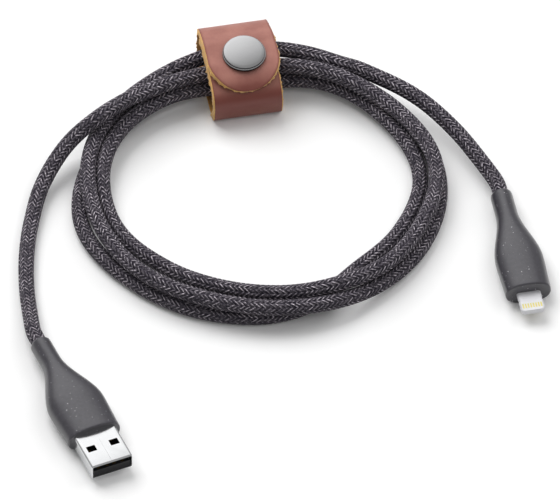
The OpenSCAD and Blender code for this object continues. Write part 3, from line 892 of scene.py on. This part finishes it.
    def settled(self, line: np.ndarray) -> np.ndarray:
        """Let the cord sag and spring a little where it comes free of its neighbours.

        Args:
            line: The cord's middle, evenly spaced, in millimetres.

        Returns:
            The line, moved by up to a millimetre.
        """
        run = np.arange(len(line)) * np.linalg.norm(line[1] - line[0])
        rows = np.array(self.settling)
        moved = np.stack([np.interp(run, rows[:, 0], rows[:, i]) for i in (1, 2, 3)], axis=1)
        return line + softened(moved, self.eased)

    def drawn_together(self, line: np.ndarray) -> np.ndarray:
        """Draw strands that lie loosely beside each other a little closer, as the wound bundle pulls.

        Args:
            line: The cord's middle, evenly spaced, in millimetres.

        Returns:
            The line, moved by at most the bundle's play.
        """
        apart = int(5 * self.diameter / self.ring_spacing)  # rings nearer than this are the same strand
        touching = (self.diameter + 2 * self.proud) / MM + self.touch_gap
        order = np.arange(len(line))
        for _ in range(self.rounds):
            pull = np.zeros_like(line)
            for start in range(0, len(line), self.batch):
                rows = order[start : start + self.batch]
                gaps = np.linalg.norm(line[rows, None, :] - line[None, :, :], axis=2)
                gaps[np.abs(rows[:, None] - order[None, :]) < apart] = np.inf
                for weight in self.shares:
                    near = np.argmin(gaps, axis=1)
                    gap = gaps[np.arange(len(rows)), near]
                    way = (line[near] - line[rows]) / gap[:, None]
                    slack = gap - touching
                    share = np.where(slack < self.reach_limit, np.clip(slack / 2, *self.push_and_pull), 0.0)
                    pull[rows] += way * share[:, None] * weight
                    gaps[np.abs(near[:, None] - order[None, :]) < apart] = np.inf
            pull[:, 2] *= self.upright_share
            calm = np.ones(self.calmed) / self.calmed
            pull = np.stack([np.convolve(pull[:, i], calm, "same") for i in range(3)], axis=1)
            ends = np.clip(np.minimum(order, order[::-1]) / self.free - self.held, 0, 1)
            line = line + pull * ends[:, None]
        return line

    @staticmethod
    def direction(degrees: float) -> np.ndarray:
        """Give the level direction at an angle from +X."""
        return np.array([math.cos(math.radians(degrees)), math.sin(math.radians(degrees)), 0.0])

    def build(self) -> tuple[bpy.types.Object, np.ndarray]:
        """Sweep the braided tube.

        Returns:
            The cord and the points it follows.
        """
        line = self.centreline()
        ahead = np.gradient(line, axis=0)
        ahead /= np.linalg.norm(ahead, axis=1)[:, None]
        sides = np.zeros_like(line)
        side = np.cross(ahead[0], (0.0, 0.0, 1.0))
        for i, way in enumerate(ahead):
            side = side - way * np.dot(side, way)
            side /= np.linalg.norm(side)
            sides[i] = side
        ups = np.cross(sides, ahead)
        run = np.arange(len(line)) * np.linalg.norm(line[1] - line[0])
        floats = run / self.float_pitch
        columns = np.arange(self.around) / self.around * self.columns
        radius = self.radius(floats[:, None], columns[None, :])
        angle = 2 * np.pi * columns / self.columns
        turned = np.cos(angle)[:, None] * sides[:, None, :] + np.sin(angle)[:, None] * ups[:, None, :]
        ring = line[:, None, :] + radius[:, :, None] * turned
        ring[:, :, 2] = np.maximum(ring[:, :, 2], self.table_gap)
        rings, around = radius.shape
        points = np.vstack([ring.reshape(-1, 3), line[0], line[-1]])
        near = np.arange(around)
        far = (near + 1) % around
        base = (np.arange(rings - 1) * around)[:, None]
        quads = np.stack([base + near, base + around + near, base + around + far, base + far], axis=2)
        start, end = rings * around, rings * around + 1
        last = (rings - 1) * around
        faces = quads.reshape(-1, 4).tolist()
        faces += [[start, int(a), int(b)] for a, b in zip(near, far)]
        faces += [[end, int(last + b), int(last + a)] for a, b in zip(near, far)]
        mesh = bpy.data.meshes.new("braided_cord")
        mesh.from_pydata(points.tolist(), [], faces)
        step = self.columns / around
        corners = np.zeros((rings - 1, around, 4, 2))
        corners[:, :, (0, 3), 0] = floats[:-1, None, None]
        corners[:, :, (1, 2), 0] = floats[1:, None, None]
        corners[:, :, (0, 1), 1] = (near * step)[None, :, None]
        corners[:, :, (2, 3), 1] = ((near + 1) * step)[None, :, None]
        flat = np.concatenate([corners.reshape(-1, 2), np.zeros((6 * around, 2))])
        layer = mesh.uv_layers.new(name="braid")
        layer.data.foreach_set("uv", flat.astype(np.float32).ravel())
        mesh.polygons.foreach_set("use_smooth", [True] * len(mesh.polygons))
        cord = bpy.data.objects.new("braided_cord", mesh)
        bpy.context.scene.collection.objects.link(cord)
        return cord, line[:: int(self.path_spacing / self.ring_spacing)]

    def radius(self, floats: np.ndarray, columns: np.ndarray) -> np.ndarray:
        """Give the cord's radius where a count of floats and a column of yarn meet.

        Args:
            floats: Floats counted along the cord.
            columns: Columns counted round it.

        Returns:
            Radii in metres.
        """
        lean = np.where(np.floor(columns) % 2 > 0, 1.0, -1.0) * BRAID.slope
        across = columns % 1 - 0.5
        ridge = np.abs(np.sin(np.pi * columns))
        swell = np.abs(np.sin(np.pi * (floats + lean * across)))
        full = self.crossing + (1 - self.crossing) * swell
        return self.diameter / 2 + self.proud - self.relief * (1 - ridge * full)

    def make(self) -> None:
        cord, path = self.build()
        cord.data.materials.append(BRAID.material())
        stand_for(cord, Body.CABLE, "braid", "cord_usb_end", "cord_coil", "cord_pin_end")


# ------------------------------------------------------------------ plugs


@dataclass
class PlugHousing:
    """Bottle-shaped moulded grip: a round neck that flares into a broad, softly crowned body.

    Sizes are in millimetres, and run from the cord's exit to the front face.
    """

    name: str
    node: str
    exit: tuple[float, float, float]
    heading: float
    width: float
    height: float
    neck: float
    mouth: tuple[float, float]
    mouth_corner: float
    seat: float  # how deep the metal part stands in the mouth
    length: float = 37.8
    flare_from: float = 7.5
    flare_to: float = 25.5
    taper: float = 0.7
    nose: float = 0.5  # radius round the front face
    tail: float = 0.6  # radius round the neck's end
    power: float = 2.5  # 2 gives an ellipse, and more a squarer oval
    cord_bore: float = 4.5
    cord_depth: float = 1.6
    section: int = 32
    section_step: float = 1.2
    rear_sections: tuple = (0.0, 0.15, 0.6, 2.0)  # distances from the neck's end
    front_sections: tuple = (2.5, 1.6, 0.5, 0.25, 0.07, 0.0)  # distances from the front face

    def half_sizes(self, x: float) -> tuple[float, float]:
        """Give the section's half width and half height at a distance from the cord's exit.

        Args:
            x: Distance in millimetres.

        Returns:
            Half width and half height in millimetres.
        """
        f = ramp(x, self.flare_from, self.flare_to)
        drawn = self.drawn_in(x, self.tail) + self.drawn_in(self.length - x, self.nose)
        wide = self.neck + (self.width - self.neck) * f - self.taper * ramp(x, self.flare_to, self.length)
        high = self.neck + (self.height - self.neck) * f
        return wide / 2 - drawn, high / 2 - drawn

    @staticmethod
    def drawn_in(x: float, radius: float) -> float:
        """Tell how far a rounded rim draws a section in at a distance from its end."""
        return 0.0 if x >= radius else radius - math.sqrt(radius**2 - (radius - x) ** 2)

    def build(self) -> bpy.types.Object:
        """Extrude the grip section by section, square its shoulders and cut its seats.

        Returns:
            The grip, in the plug's place.
        """
        places = list(self.rear_sections[:-1])
        first, last = self.rear_sections[-1], self.length - self.front_sections[0]
        places += list(np.arange(first, last, self.section_step))
        places += [self.length - back for back in self.front_sections[1:]]
        wide, high = self.half_sizes(0.0)
        bpy.ops.mesh.primitive_circle_add(
            vertices=self.section, radius=1.0, fill_type="NGON", rotation=(0, math.pi / 2, 0)
        )
        grip = active(self.name)
        settle(grip)
        bpy.ops.object.mode_set(mode="EDIT")
        bpy.ops.mesh.select_all(action="SELECT")
        bpy.ops.transform.resize(value=(1, wide * MM, high * MM), center_override=(0, 0, 0))
        for before, after in zip(places, places[1:]):
            old_wide, old_high = self.half_sizes(before)
            new_wide, new_high = self.half_sizes(after)
            bpy.ops.mesh.extrude_region_move(
                TRANSFORM_OT_translate={"value": ((after - before) * MM, 0, 0)}
            )
            bpy.ops.transform.resize(
                value=(1, new_wide / old_wide, new_high / old_high), center_override=(after * MM, 0, 0)
            )
        bpy.ops.object.mode_set(mode="OBJECT")
        self.square(grip)
        closed_outwards(grip)
        finish_modifier(grip, "SUBSURF", levels=1, render_levels=1)
        self.cut_seats(grip)
        set_down(grip, self.exit, self.heading)
        smooth_shaded(grip, 40)
        return grip

    def square(self, grip: bpy.types.Object) -> None:
        """Move the section's points out, from an ellipse at the neck to a squarer oval.

        Args:
            grip: The grip, along X.
        """
        for vertex in grip.data.vertices:
            x = vertex.co.x / MM
            wide, high = self.half_sizes(min(max(x, 0.0), self.length))
            power = 2 + (self.power - 2) * ramp(x, self.flare_from, self.flare_to)
            angle = math.atan2(vertex.co.z / high, vertex.co.y / wide)
            out = (abs(math.cos(angle)) ** power + abs(math.sin(angle)) ** power) ** (-1 / power)
            vertex.co.y *= out
            vertex.co.z *= out

    def cut_seats(self, grip: bpy.types.Object) -> None:
        """Cut the mouth that the metal part stands in, and the cord's bore in the neck.

        Args:
            grip: The grip, along X.
        """
        span = (self.length - self.seat, self.length + 1.0)
        cut(grip, bar("mouth_cutter", span, self.mouth, self.mouth_corner, 4))
        bpy.ops.mesh.primitive_cylinder_add(
            vertices=32,
            radius=self.cord_bore / 2 * MM,
            depth=2 * self.cord_depth * MM,
            rotation=(0, math.pi / 2, 0),
        )
        bore = active("bore_cutter")
        settle(bore)
        cut(grip, bore)

    def make(self, material: bpy.types.Material) -> None:
        """Build the grip, dress it and let it stand for its CAD solid.

        Args:
            material: The housing's finish.
        """
        grip = self.build()
        grip.data.materials.append(material)
        stand_for(grip, Body.CABLE, "housing", self.node)


@dataclass
class UsbShell:
    """Folded steel shell: a thin box with round corners, a seam, spring windows and a dressed lip.

    Sizes are in millimetres.
    """

    exit: tuple[float, float, float]
    heading: float
    body_length: float = 37.8
    width: float = 12.0
    height: float = 4.5
    wall: float = 0.3
    corner: float = 0.6
    out: float = 12.2  # length outside the housing
    held: float = 8.5  # length inside it
    window: tuple[float, float] = (2.1, 2.5)
    window_pitch: float = 6.6
    window_at: float = 6.6
    seam: tuple[float, float] = (0.06, 0.04)  # width and depth
    lip: float = 0.09
    slack: float = 0.01  # how far off a face or a corner its own points may lie

    def build(self) -> bpy.types.Object:
        """Form the shell, punch its windows and dress its lip.

        Returns:
            The shell, in the plug's place.
        """
        low, high = self.body_length - self.held, self.body_length + self.out
        shell = bar("usb_shell_steel", (low, high), (self.width, self.height), self.corner, 6)
        inside = (self.width - 2 * self.wall, self.height - 2 * self.wall)
        cut(shell, bar("bore_cutter", (low - 1, high + 1), inside, self.corner - self.wall, 6))
        for side in (-1, 1):
            middle = (high - self.window_at, side * self.window_pitch / 2, 0)
            cut(shell, block("window_cutter", middle, (*self.window, 2 * self.height)))
        seam_width, seam_depth = self.seam
        middle = ((low + high) / 2, 0, self.height / 2 + 0.5 - seam_depth)
        cut(shell, block("seam_cutter", middle, (high - low + 2, seam_width, 1)))
        round_edges(shell, lambda a, b: all(self.on_lip(co, high) for co in (a, b)), self.lip, 3)
        set_down(shell, self.exit, self.heading)
        smooth_shaded(shell, 30)
        return shell

    def on_lip(self, co: Vector, mouth: float) -> bool:
        """Tell whether a point lies on the outer edge of the mouth, which a press leaves rounded.

        Args:
            co: The point, in millimetres.
            mouth: The mouth's place along the plug.

        Returns:
            Whether it does.
        """
        if abs(co.x - mouth) >= self.slack:
            return False
        half_width, half_height = self.width / 2, self.height / 2
        across = abs(co.y) - (half_width - self.corner)
        up = abs(co.z) - (half_height - self.corner)
        at_side = abs(co.y) > half_width - 2 * self.slack
        at_top = abs(co.z) > half_height - 2 * self.slack - self.seam[1]
        on_round = min(across, up) > -self.slack and math.hypot(across, up) > self.corner - 5 * self.slack
        return at_side or at_top or on_round

    def make(self) -> None:
        """Build the shell, dress it and let it stand for its CAD solid."""
        shell = self.build()
        shell.data.materials.append(SHELL_STEEL.material())
        stand_for(shell, Body.CABLE, "shell_steel", "usb_shell")


# ------------------------------------------------------------------ strap


@dataclass
class SnapCap:
    """Pressed snap cap: a slightly crowned satin face over a polished rim with painted shade.

    Sizes are in millimetres. The profile gives radius and height, from the foot to the crown.
    """

    middle: tuple[float, float, float] = (4.3, 60.1, 15.57)
    lean: float = 7.0
    seat: float = 0.75
    profile: tuple = (
        (5.5, 0.0), (5.85, 0.06), (5.98, 0.25), (6.0, 0.62), (5.96, 0.78), (5.84, 0.86), (5.74, 0.94),
        (5.71, 1.2), (5.66, 1.3), (5.56, 1.35), (5.4, 1.38), (4.6, 1.45), (3.4, 1.53), (1.8, 1.6),
        (0.6, 1.62),
    )
    rim_points: int = 8  # profile's points below the crown
    around: int = 96

    def build(self) -> bpy.types.Object:
        """Extrude the cap ring by ring from its foot to its crown.

        Returns:
            The cap on the flap.
        """
        radius, low = self.profile[0]
        bpy.ops.mesh.primitive_circle_add(
            vertices=self.around, radius=radius * MM, fill_type="NGON", location=(0, 0, low * MM)
        )
        cap = active("snap_cap_nickel")
        settle(cap)
        bpy.ops.object.mode_set(mode="EDIT")
        bpy.ops.mesh.select_all(action="SELECT")
        for (old, before), (new, after) in zip(self.profile, self.profile[1:]):
            rise = (0, 0, (after - before) * MM)
            bpy.ops.mesh.extrude_region_move(TRANSFORM_OT_translate={"value": rise})
            bpy.ops.transform.resize(value=(new / old, new / old, 1), center_override=(0, 0, after * MM))
        bpy.ops.object.mode_set(mode="OBJECT")
        closed_outwards(cap)
        edge = self.profile[self.rim_points][1] * MM
        for finish in (NICKEL, PAINTED_SHADE_NICKEL):
            cap.data.materials.append(finish.material())
        # The rim below the crown gets the same nickel with painted shade, darker than the face.
        for polygon in cap.data.polygons:
            polygon.material_index = 1 if polygon.center.z < edge and polygon.normal.z < 0.5 else 0
        lean = math.radians(self.lean)
        cap.rotation_euler = (lean, 0, 0)
        away = Vector((0, -math.sin(lean), math.cos(lean)))
        cap.location = (Vector(self.middle) + away * self.seat) * MM
        settle(cap)
        smooth_shaded(cap, 50)
        return cap

    def make(self) -> None:
        """Build the cap and let it stand for its CAD solid."""
        stand_for(self.build(), Body.FLAP, "snap_metal", "snap_cap")


@dataclass
class KeeperStrap:
    """One strip of leather, folded round the cords and closed over itself by the snap.

    Sizes are in millimetres. A place on the strap's path is its distance behind the front fold and its
    height.
    """

    width: float = 19.4
    thickness: float = 1.5
    middle: float = 3.6  # across the strap, along X
    front: float = 51.0  # front fold, along Y
    columns: int = 44
    spacing: float = 0.45
    step: float = 0.1  # along the route
    tip_radius: float = 9.7  # also the round tip's length
    tip_rows: int = 26
    tip_last: float = 88.0  # last row's place round the tip, in degrees
    rim_radius: float = 0.16
    rim_width: float = 0.6  # fray stays this near to a cut edge
    fray: float = 0.07
    fray_scale: tuple[float, float, float] = (2.6, 2.6, 1.3)  # per millimetre
    fray_seed: int = 3  # gives the same ragged edge at each run
    splay: float = 0.42
    splay_range: tuple[float, float] = (0.6, 1.6)  # least share of the splay, and what the fray adds
    lean: float = 7.0
    snap_behind: float = 9.1
    inner_height: float = 12.45  # under the snap
    layer_pitch: float = 3.1  # from the inner layer up to the flap
    fold: tuple[float, float] = (23.6, 12.0)
    parting: tuple[float, float] = (14.0, 0.75)  # where the strap's two lengths meet
    bend_from: tuple[float, float] = (23.6, 10.0)  # point on the route below the back fold
    bend_to: tuple[float, float] = (20.5, 14.3)  # point by the route past it
    flap_length: float = 26.0  # flare and skew grow over it
    flare: float = 0.035
    skew: float = 0.3
    turned: tuple[float, float] = (0.3, 0.95)  # slope at which the painted shade starts and is fullest
    painted_shade_strength: tuple[float, float] = (0.3, 0.6)  # painted shade's strength on the table, and what height adds
    painted_shade_heights: tuple[float, float] = (1.0, 9.0)

    def inner(self, u: float) -> float:
        """Height of the inner layer's middle under the snap."""
        return self.inner_height + (u - self.snap_behind) * math.tan(math.radians(self.lean))

    def outer(self, u: float) -> float:
        """Height of the flap's middle over the snap."""
        return self.inner(u) + self.layer_pitch / math.cos(math.radians(self.lean))

    def route(self) -> np.ndarray:
        """Follow the leather's middle from its inner end round the cords to the flap's tip.

        Returns:
            Distance behind the front fold and height, in millimetres, evenly spaced.
        """
        inner = [(u, self.inner(u)) for u in (13, 10, 7.5, 5)]
        outer = [(u, self.outer(u)) for u in (15, 12, 9, 6)]
        points = [
            (21.2, 10.5), (20.5, 12.0), (19.1, 13.1), (17.4, 13.6), (15.8, 13.5), (14.3, 13.1), *inner,
            (2.7, 11.2), (0.8, 10.1), (-0.2, 8.6), (-0.5, 6.8), (0.0, 3.8), (0.9, 1.6), (3.2, 0.75),
            (12.0, 0.75), (20.8, 0.75), (22.8, 1.6), (23.6, 3.6), (23.6, 8.0), self.fold, (23.2, 13.1),
            (22.0, 14.2), (20.1, 15.1), (17.8, 15.7), *outer, (3.2, 14.4), (1.1, 13.2), (-0.4, 11.6),
        ]
        line = np.array(points)
        line = np.vstack([2 * line[0] - line[1], line, 2 * line[-1] - line[-2]])
        return evenly(smooth_curve(line, 10), self.step)

    def build(
        self, name: str, line: np.ndarray, low: float, high: float, materials: Sequence[bpy.types.Material]
    ) -> bpy.types.Object:
        """Cut a length of the strip flat, thicken it, and bend it along its route.

        Args:
            name: The length's name.
            line: The route of the leather's middle.
            low: Where the length begins, in millimetres along the strip.
            high: Where it ends; at the strip's own end it gets the round tip.
            materials: Finishes of its face, its back and its cut edges.

        Returns:
            The length of strap in its place.
        """
        straight = self.step * (len(line) - 1) - self.tip_radius
        square_end = min(high, straight)
        places = np.linspace(low, square_end, int((square_end - low) / self.spacing) + 1)
        if high > straight:
            angles = np.radians(np.linspace(0, self.tip_last, self.tip_rows + 1)[1:])
            places = np.concatenate([places, straight + self.tip_radius * np.sin(angles)])
        bpy.ops.mesh.primitive_grid_add(x_subdivisions=self.columns, y_subdivisions=len(places) - 1, size=1)
        strap = active(name)
        for vertex in strap.data.vertices:
            row = round((vertex.co.y + 0.5) * (len(places) - 1))
            along = places[row]
            width = self.width
            if along > straight:
                width *= math.sqrt(max(0.0, self.tip_radius**2 - (along - straight) ** 2)) / self.tip_radius
            vertex.co = (vertex.co.x * width, along, 0)
        for material in materials:
            strap.data.materials.append(material)
        finish_modifier(
            strap, "SOLIDIFY", thickness=self.thickness, offset=0, material_offset=1, material_offset_rim=2
        )
        self.round_rims(strap)
        self.bend(strap, line)
        smooth_shaded(strap, 50)
        return strap

    def round_rims(self, strap: bpy.types.Object) -> None:
        """Take the sharpness off the cut edges."""
        rim = {"limit_method": "ANGLE", "angle_limit": math.radians(50), "material": 2}
        finish_modifier(strap, "BEVEL", width=self.rim_radius, segments=2, **rim)

    def bend(self, strap: bpy.types.Object, line: np.ndarray) -> None:
        """Lay the flat strip along its route, with a little fray on its raw edges, and store each point's
        distance from a cut and how much painted shade it gets.

        Args:
            strap: The strip, flat, in millimetres.
            line: The route of the leather's middle.
        """
        ahead = np.gradient(line, axis=0)
        ahead /= np.linalg.norm(ahead, axis=1)[:, None]
        run = np.arange(len(line)) * self.step
        mesh = strap.data
        rim = {i for face in mesh.polygons if face.material_index == 2 for i in face.vertices}
        for name in ("inset", "shade"):
            mesh.attributes.new(name, "FLOAT", "POINT")
        inset, shade = mesh.attributes["inset"], mesh.attributes["shade"]
        straight = run[-1] - self.tip_radius
        least, more = self.splay_range
        shade_on_table, shade_added_by_height = self.painted_shade_strength
        for vertex in mesh.vertices:
            x, along, out = vertex.co
            to_side = self.width / 2 - abs(x)
            if along > straight:
                rounded = x * 2 * self.tip_radius / self.width
                to_side = self.tip_radius - math.hypot(rounded, along - straight)
            inset.data[vertex.index].value = max(0.0, min(to_side, along))
            flap = ramp(along, run[-1] - self.flap_length, straight)
            x = x * (1 + self.flare * (flap - 0.5)) + self.skew * flap
            if vertex.index in rim and along > 0.5 and to_side < self.rim_width:
                ragged = noise.noise_vector([v * s for v, s in zip((x, along, out), self.fray_scale)])
                out += self.fray * ragged.y
                frayed = self.splay * (0.5 - out / self.thickness) * (least + more * max(0.0, ragged.z))
                way = Vector((x, max(0.0, along - straight))).normalized()
                x += way.x * (frayed + self.fray * ragged.x)
                along += way.y * (frayed + self.fray * ragged.x)
            u, z = (float(np.interp(along, run, line[:, i])) for i in (0, 1))
            du, dz = (float(np.interp(along, run, ahead[:, i])) for i in (0, 1))
            if along > run[-1]:
                u, z = u + du * (along - run[-1]), z + dz * (along - run[-1])
            # Painted shade: darker where the leather turns down and away from the lamps, and lighter near
            # the table, which bounces light onto it.
            dull = shade_on_table + shade_added_by_height * ramp(z, *self.painted_shade_heights)
            shade.data[vertex.index].value = ramp(-dz, *self.turned) * dull
            vertex.co = [v * MM for v in (self.middle + x, self.front + u + dz * out, z - du * out)]
        closed_outwards(strap)

    def make(self) -> None:
        """Build the strap in two lengths that meet under the cords; only the first rides on the strap's
        body.
        """
        noise.seed_set(self.fray_seed)
        line = self.route()
        parting = self.step * float(np.argmin(np.linalg.norm(line - np.array(self.parting), axis=1)))
        materials = [finish.material() for finish in (GRAIN_LEATHER, FLESH_LEATHER, CUT_LEATHER)]
        band = self.build("leather_strap", line, 0.0, parting, materials)
        stand_for(band, Body.STRAP, "leather", "strap_band")
        flap = self.build("leather_flap", line, parting, self.step * (len(line) - 1), materials)
        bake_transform(flap)
        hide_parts("strap_flap")
        log.info("%s: %d triangles", flap.name, count(flap))


# ------------------------------------------------------------------ studio


@dataclass
class Studio:
    """Pale table, soft lamps and the camera."""

    look_at: tuple[float, float, float] = (2.8, 0.8, 0.0)
    azimuth: float = 11.0
    elevation: float = 46.3
    distance: float = 5.5
    frame_width: float = IMAGE_WIDTH / PIXELS_PER_MM * MM
    sensor: float = 36.0
    paper: float = 0.98  # table's grey as the camera sees it
    bounce: float = 0.6  # table's grey as the object sees it
    glow: float = 0.03
    mirrored_share: float = 0.35  # how much of the camera's table a glossy piece mirrors
    ambient: float = 0.31
    bright_wall: tuple[float, float, float] = (-0.05, 0.75, 0.66)  # way to the wall that metal mirrors
    wall_edge: tuple[float, float] = (0.83, 0.98)  # cosines at which it fades out and is full
    wall_light: tuple[float, float] = (0.12, 1.14)  # mirrored light beside it and on it
    # Name, place and side in metres, and power in watts.
    lamps: tuple = (
        ("window", (-0.45, 0.95, 1.35), 1.4, 25),
        ("side", (1.15, 0.4, 1.2), 1.1, 7),
        ("fill", (0.4, -0.9, 1.7), 0.9, 3),
    )

    def camera(self) -> None:
        """Aim a long lens at the middle of the coil."""
        data = bpy.data.cameras.new("camera")
        data.sensor_width = self.sensor
        data.lens = self.sensor * self.distance / self.frame_width
        data.clip_start, data.clip_end = 0.1, 100
        camera = bpy.data.objects.new("camera", data)
        a, e = math.radians(self.azimuth), math.radians(self.elevation)
        forward = Vector((math.sin(a) * math.cos(e), math.cos(a) * math.cos(e), -math.sin(e)))
        camera.location = Vector(self.look_at) * MM - forward * self.distance
        camera.rotation_euler = forward.to_track_quat("-Z", "Y").to_euler()
        bpy.context.scene.collection.objects.link(camera)
        bpy.context.scene.camera = camera

    @staticmethod
    def lamp(name: str, place: Sequence[float], size: float, power: float) -> None:
        """Add a square soft lamp that faces the coil and that no glossy surface mirrors.

        Args:
            name: Lamp's name.
            place: Where it hangs, in metres.
            size: Length of its side.
            power: Its power in watts.
        """
        data = bpy.data.lights.new(name, "AREA")
        data.size = size
        data.energy = power
        lamp = bpy.data.objects.new(name, data)
        lamp.location = place
        lamp.rotation_euler = (-Vector(place)).to_track_quat("-Z", "Y").to_euler()
        lamp.visible_glossy = False
        bpy.context.scene.collection.objects.link(lamp)

    @staticmethod
    def seen_plainly(tree: bpy.types.NodeTree, path: bpy.types.Node) -> bpy.types.Node:
        """Give 1 for a ray from the camera, straight or through something clear.

        Args:
            tree: Node tree.
            path: Its light path node.

        Returns:
            The node that gives it.
        """
        return add_node(
            tree, "Math", {"operation": "MAXIMUM"},
            {0: path.outputs["Is Camera Ray"], 1: path.outputs["Is Transmission Ray"]},
        )

    def floor(self) -> None:
        """Lay a white table that keeps the shadows."""
        bpy.ops.mesh.primitive_plane_add(size=6)
        floor = active("table")
        material = bpy.data.materials.new("white table")
        material.use_nodes = True
        tree = material.node_tree
        tree.nodes.clear()
        matte, paper = (
            add_node(tree, "BsdfDiffuse", {"Color": (grey, grey, grey, 1)})
            for grey in (self.bounce, self.paper)
        )
        glow = add_node(tree, "Emission", {"Color": (1, 1, 1, 1), "Strength": self.glow})
        both = add_node(tree, "AddShader", links={0: paper, 1: glow})
        path = add_node(tree, "LightPath")
        seen = add_node(
            tree, "Math", {"operation": "MULTIPLY_ADD", 1: self.mirrored_share, "use_clamp": True},
            {0: path.outputs["Is Glossy Ray"], 2: self.seen_plainly(tree, path)},
        )
        mixed = add_node(tree, "MixShader", links={0: seen, 1: matte, 2: both})
        add_node(tree, "OutputMaterial", links={"Surface": mixed})
        floor.data.materials.append(material)

    def sky(self) -> None:
        """Fill the room with plain light, and show white where the table ends."""
        world = bpy.data.worlds.new("room")
        bpy.context.scene.world = world
        world.use_nodes = True
        tree = world.node_tree
        tree.nodes.clear()
        path = add_node(tree, "LightPath")
        place = add_node(tree, "TexCoord")
        facing = add_node(
            tree, "VectorMath", {"operation": "DOT_PRODUCT", 1: self.bright_wall},
            {0: place.outputs["Generated"]},
        )
        wall = add_node(
            tree, "MapRange",
            {
                "From Min": self.wall_edge[0], "From Max": self.wall_edge[1],
                "To Min": self.wall_light[0], "To Max": self.wall_light[1],
            },
            {"Value": facing.outputs["Value"]},
        )
        mirrored = add_node(
            tree, "Math", {"operation": "MULTIPLY"}, {0: path.outputs["Is Glossy Ray"], 1: wall}
        )
        shown = add_node(
            tree, "Math", {"operation": "MAXIMUM"}, {0: self.seen_plainly(tree, path), 1: mirrored}
        )
        strength = add_node(tree, "Math", {"operation": "MAXIMUM", 1: self.ambient}, {0: shown})
        glow = add_node(tree, "Background", {"Color": (1, 1, 1, 1)}, {"Strength": strength})
        add_node(tree, "OutputWorld", links={"Surface": glow})

    def make(self) -> None:
        """Set the whole stage."""
        self.camera()
        self.floor()
        self.sky()
        for name, place, size, power in self.lamps:
            self.lamp(name, place, size, power)
        bpy.context.scene.view_settings.view_transform = "Standard"


def main() -> None:
    """Build the cable's looks piece by piece."""
    for name, finish in NODE_FINISHES.items():
        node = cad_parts[name]
        node.data.materials.clear()
        node.data.materials.append(finish.material())
    cord = BraidedCord()
    housing = HOUSING.material()
    PlugHousing(
        "usb_grip", "usb_housing", cord.usb_exit, cord.usb_heading,
        width=16.0, height=8.0, neck=5.9, mouth=(12.0, 4.5), mouth_corner=0.6, seat=8.5,
    ).make(housing)
    PlugHousing(
        "phone_plug_grip", "pin_housing", cord.pin_exit, cord.pin_heading,
        width=13.3, height=7.4, neck=6.1, mouth=(6.7, 1.5), mouth_corner=0.7, seat=5.0,
    ).make(housing)
    UsbShell(cord.usb_exit, cord.usb_heading).make()
    cord.make()
    KeeperStrap().make()
    SnapCap().make()
    Studio().make()


if __name__ == "__main__":
    main()
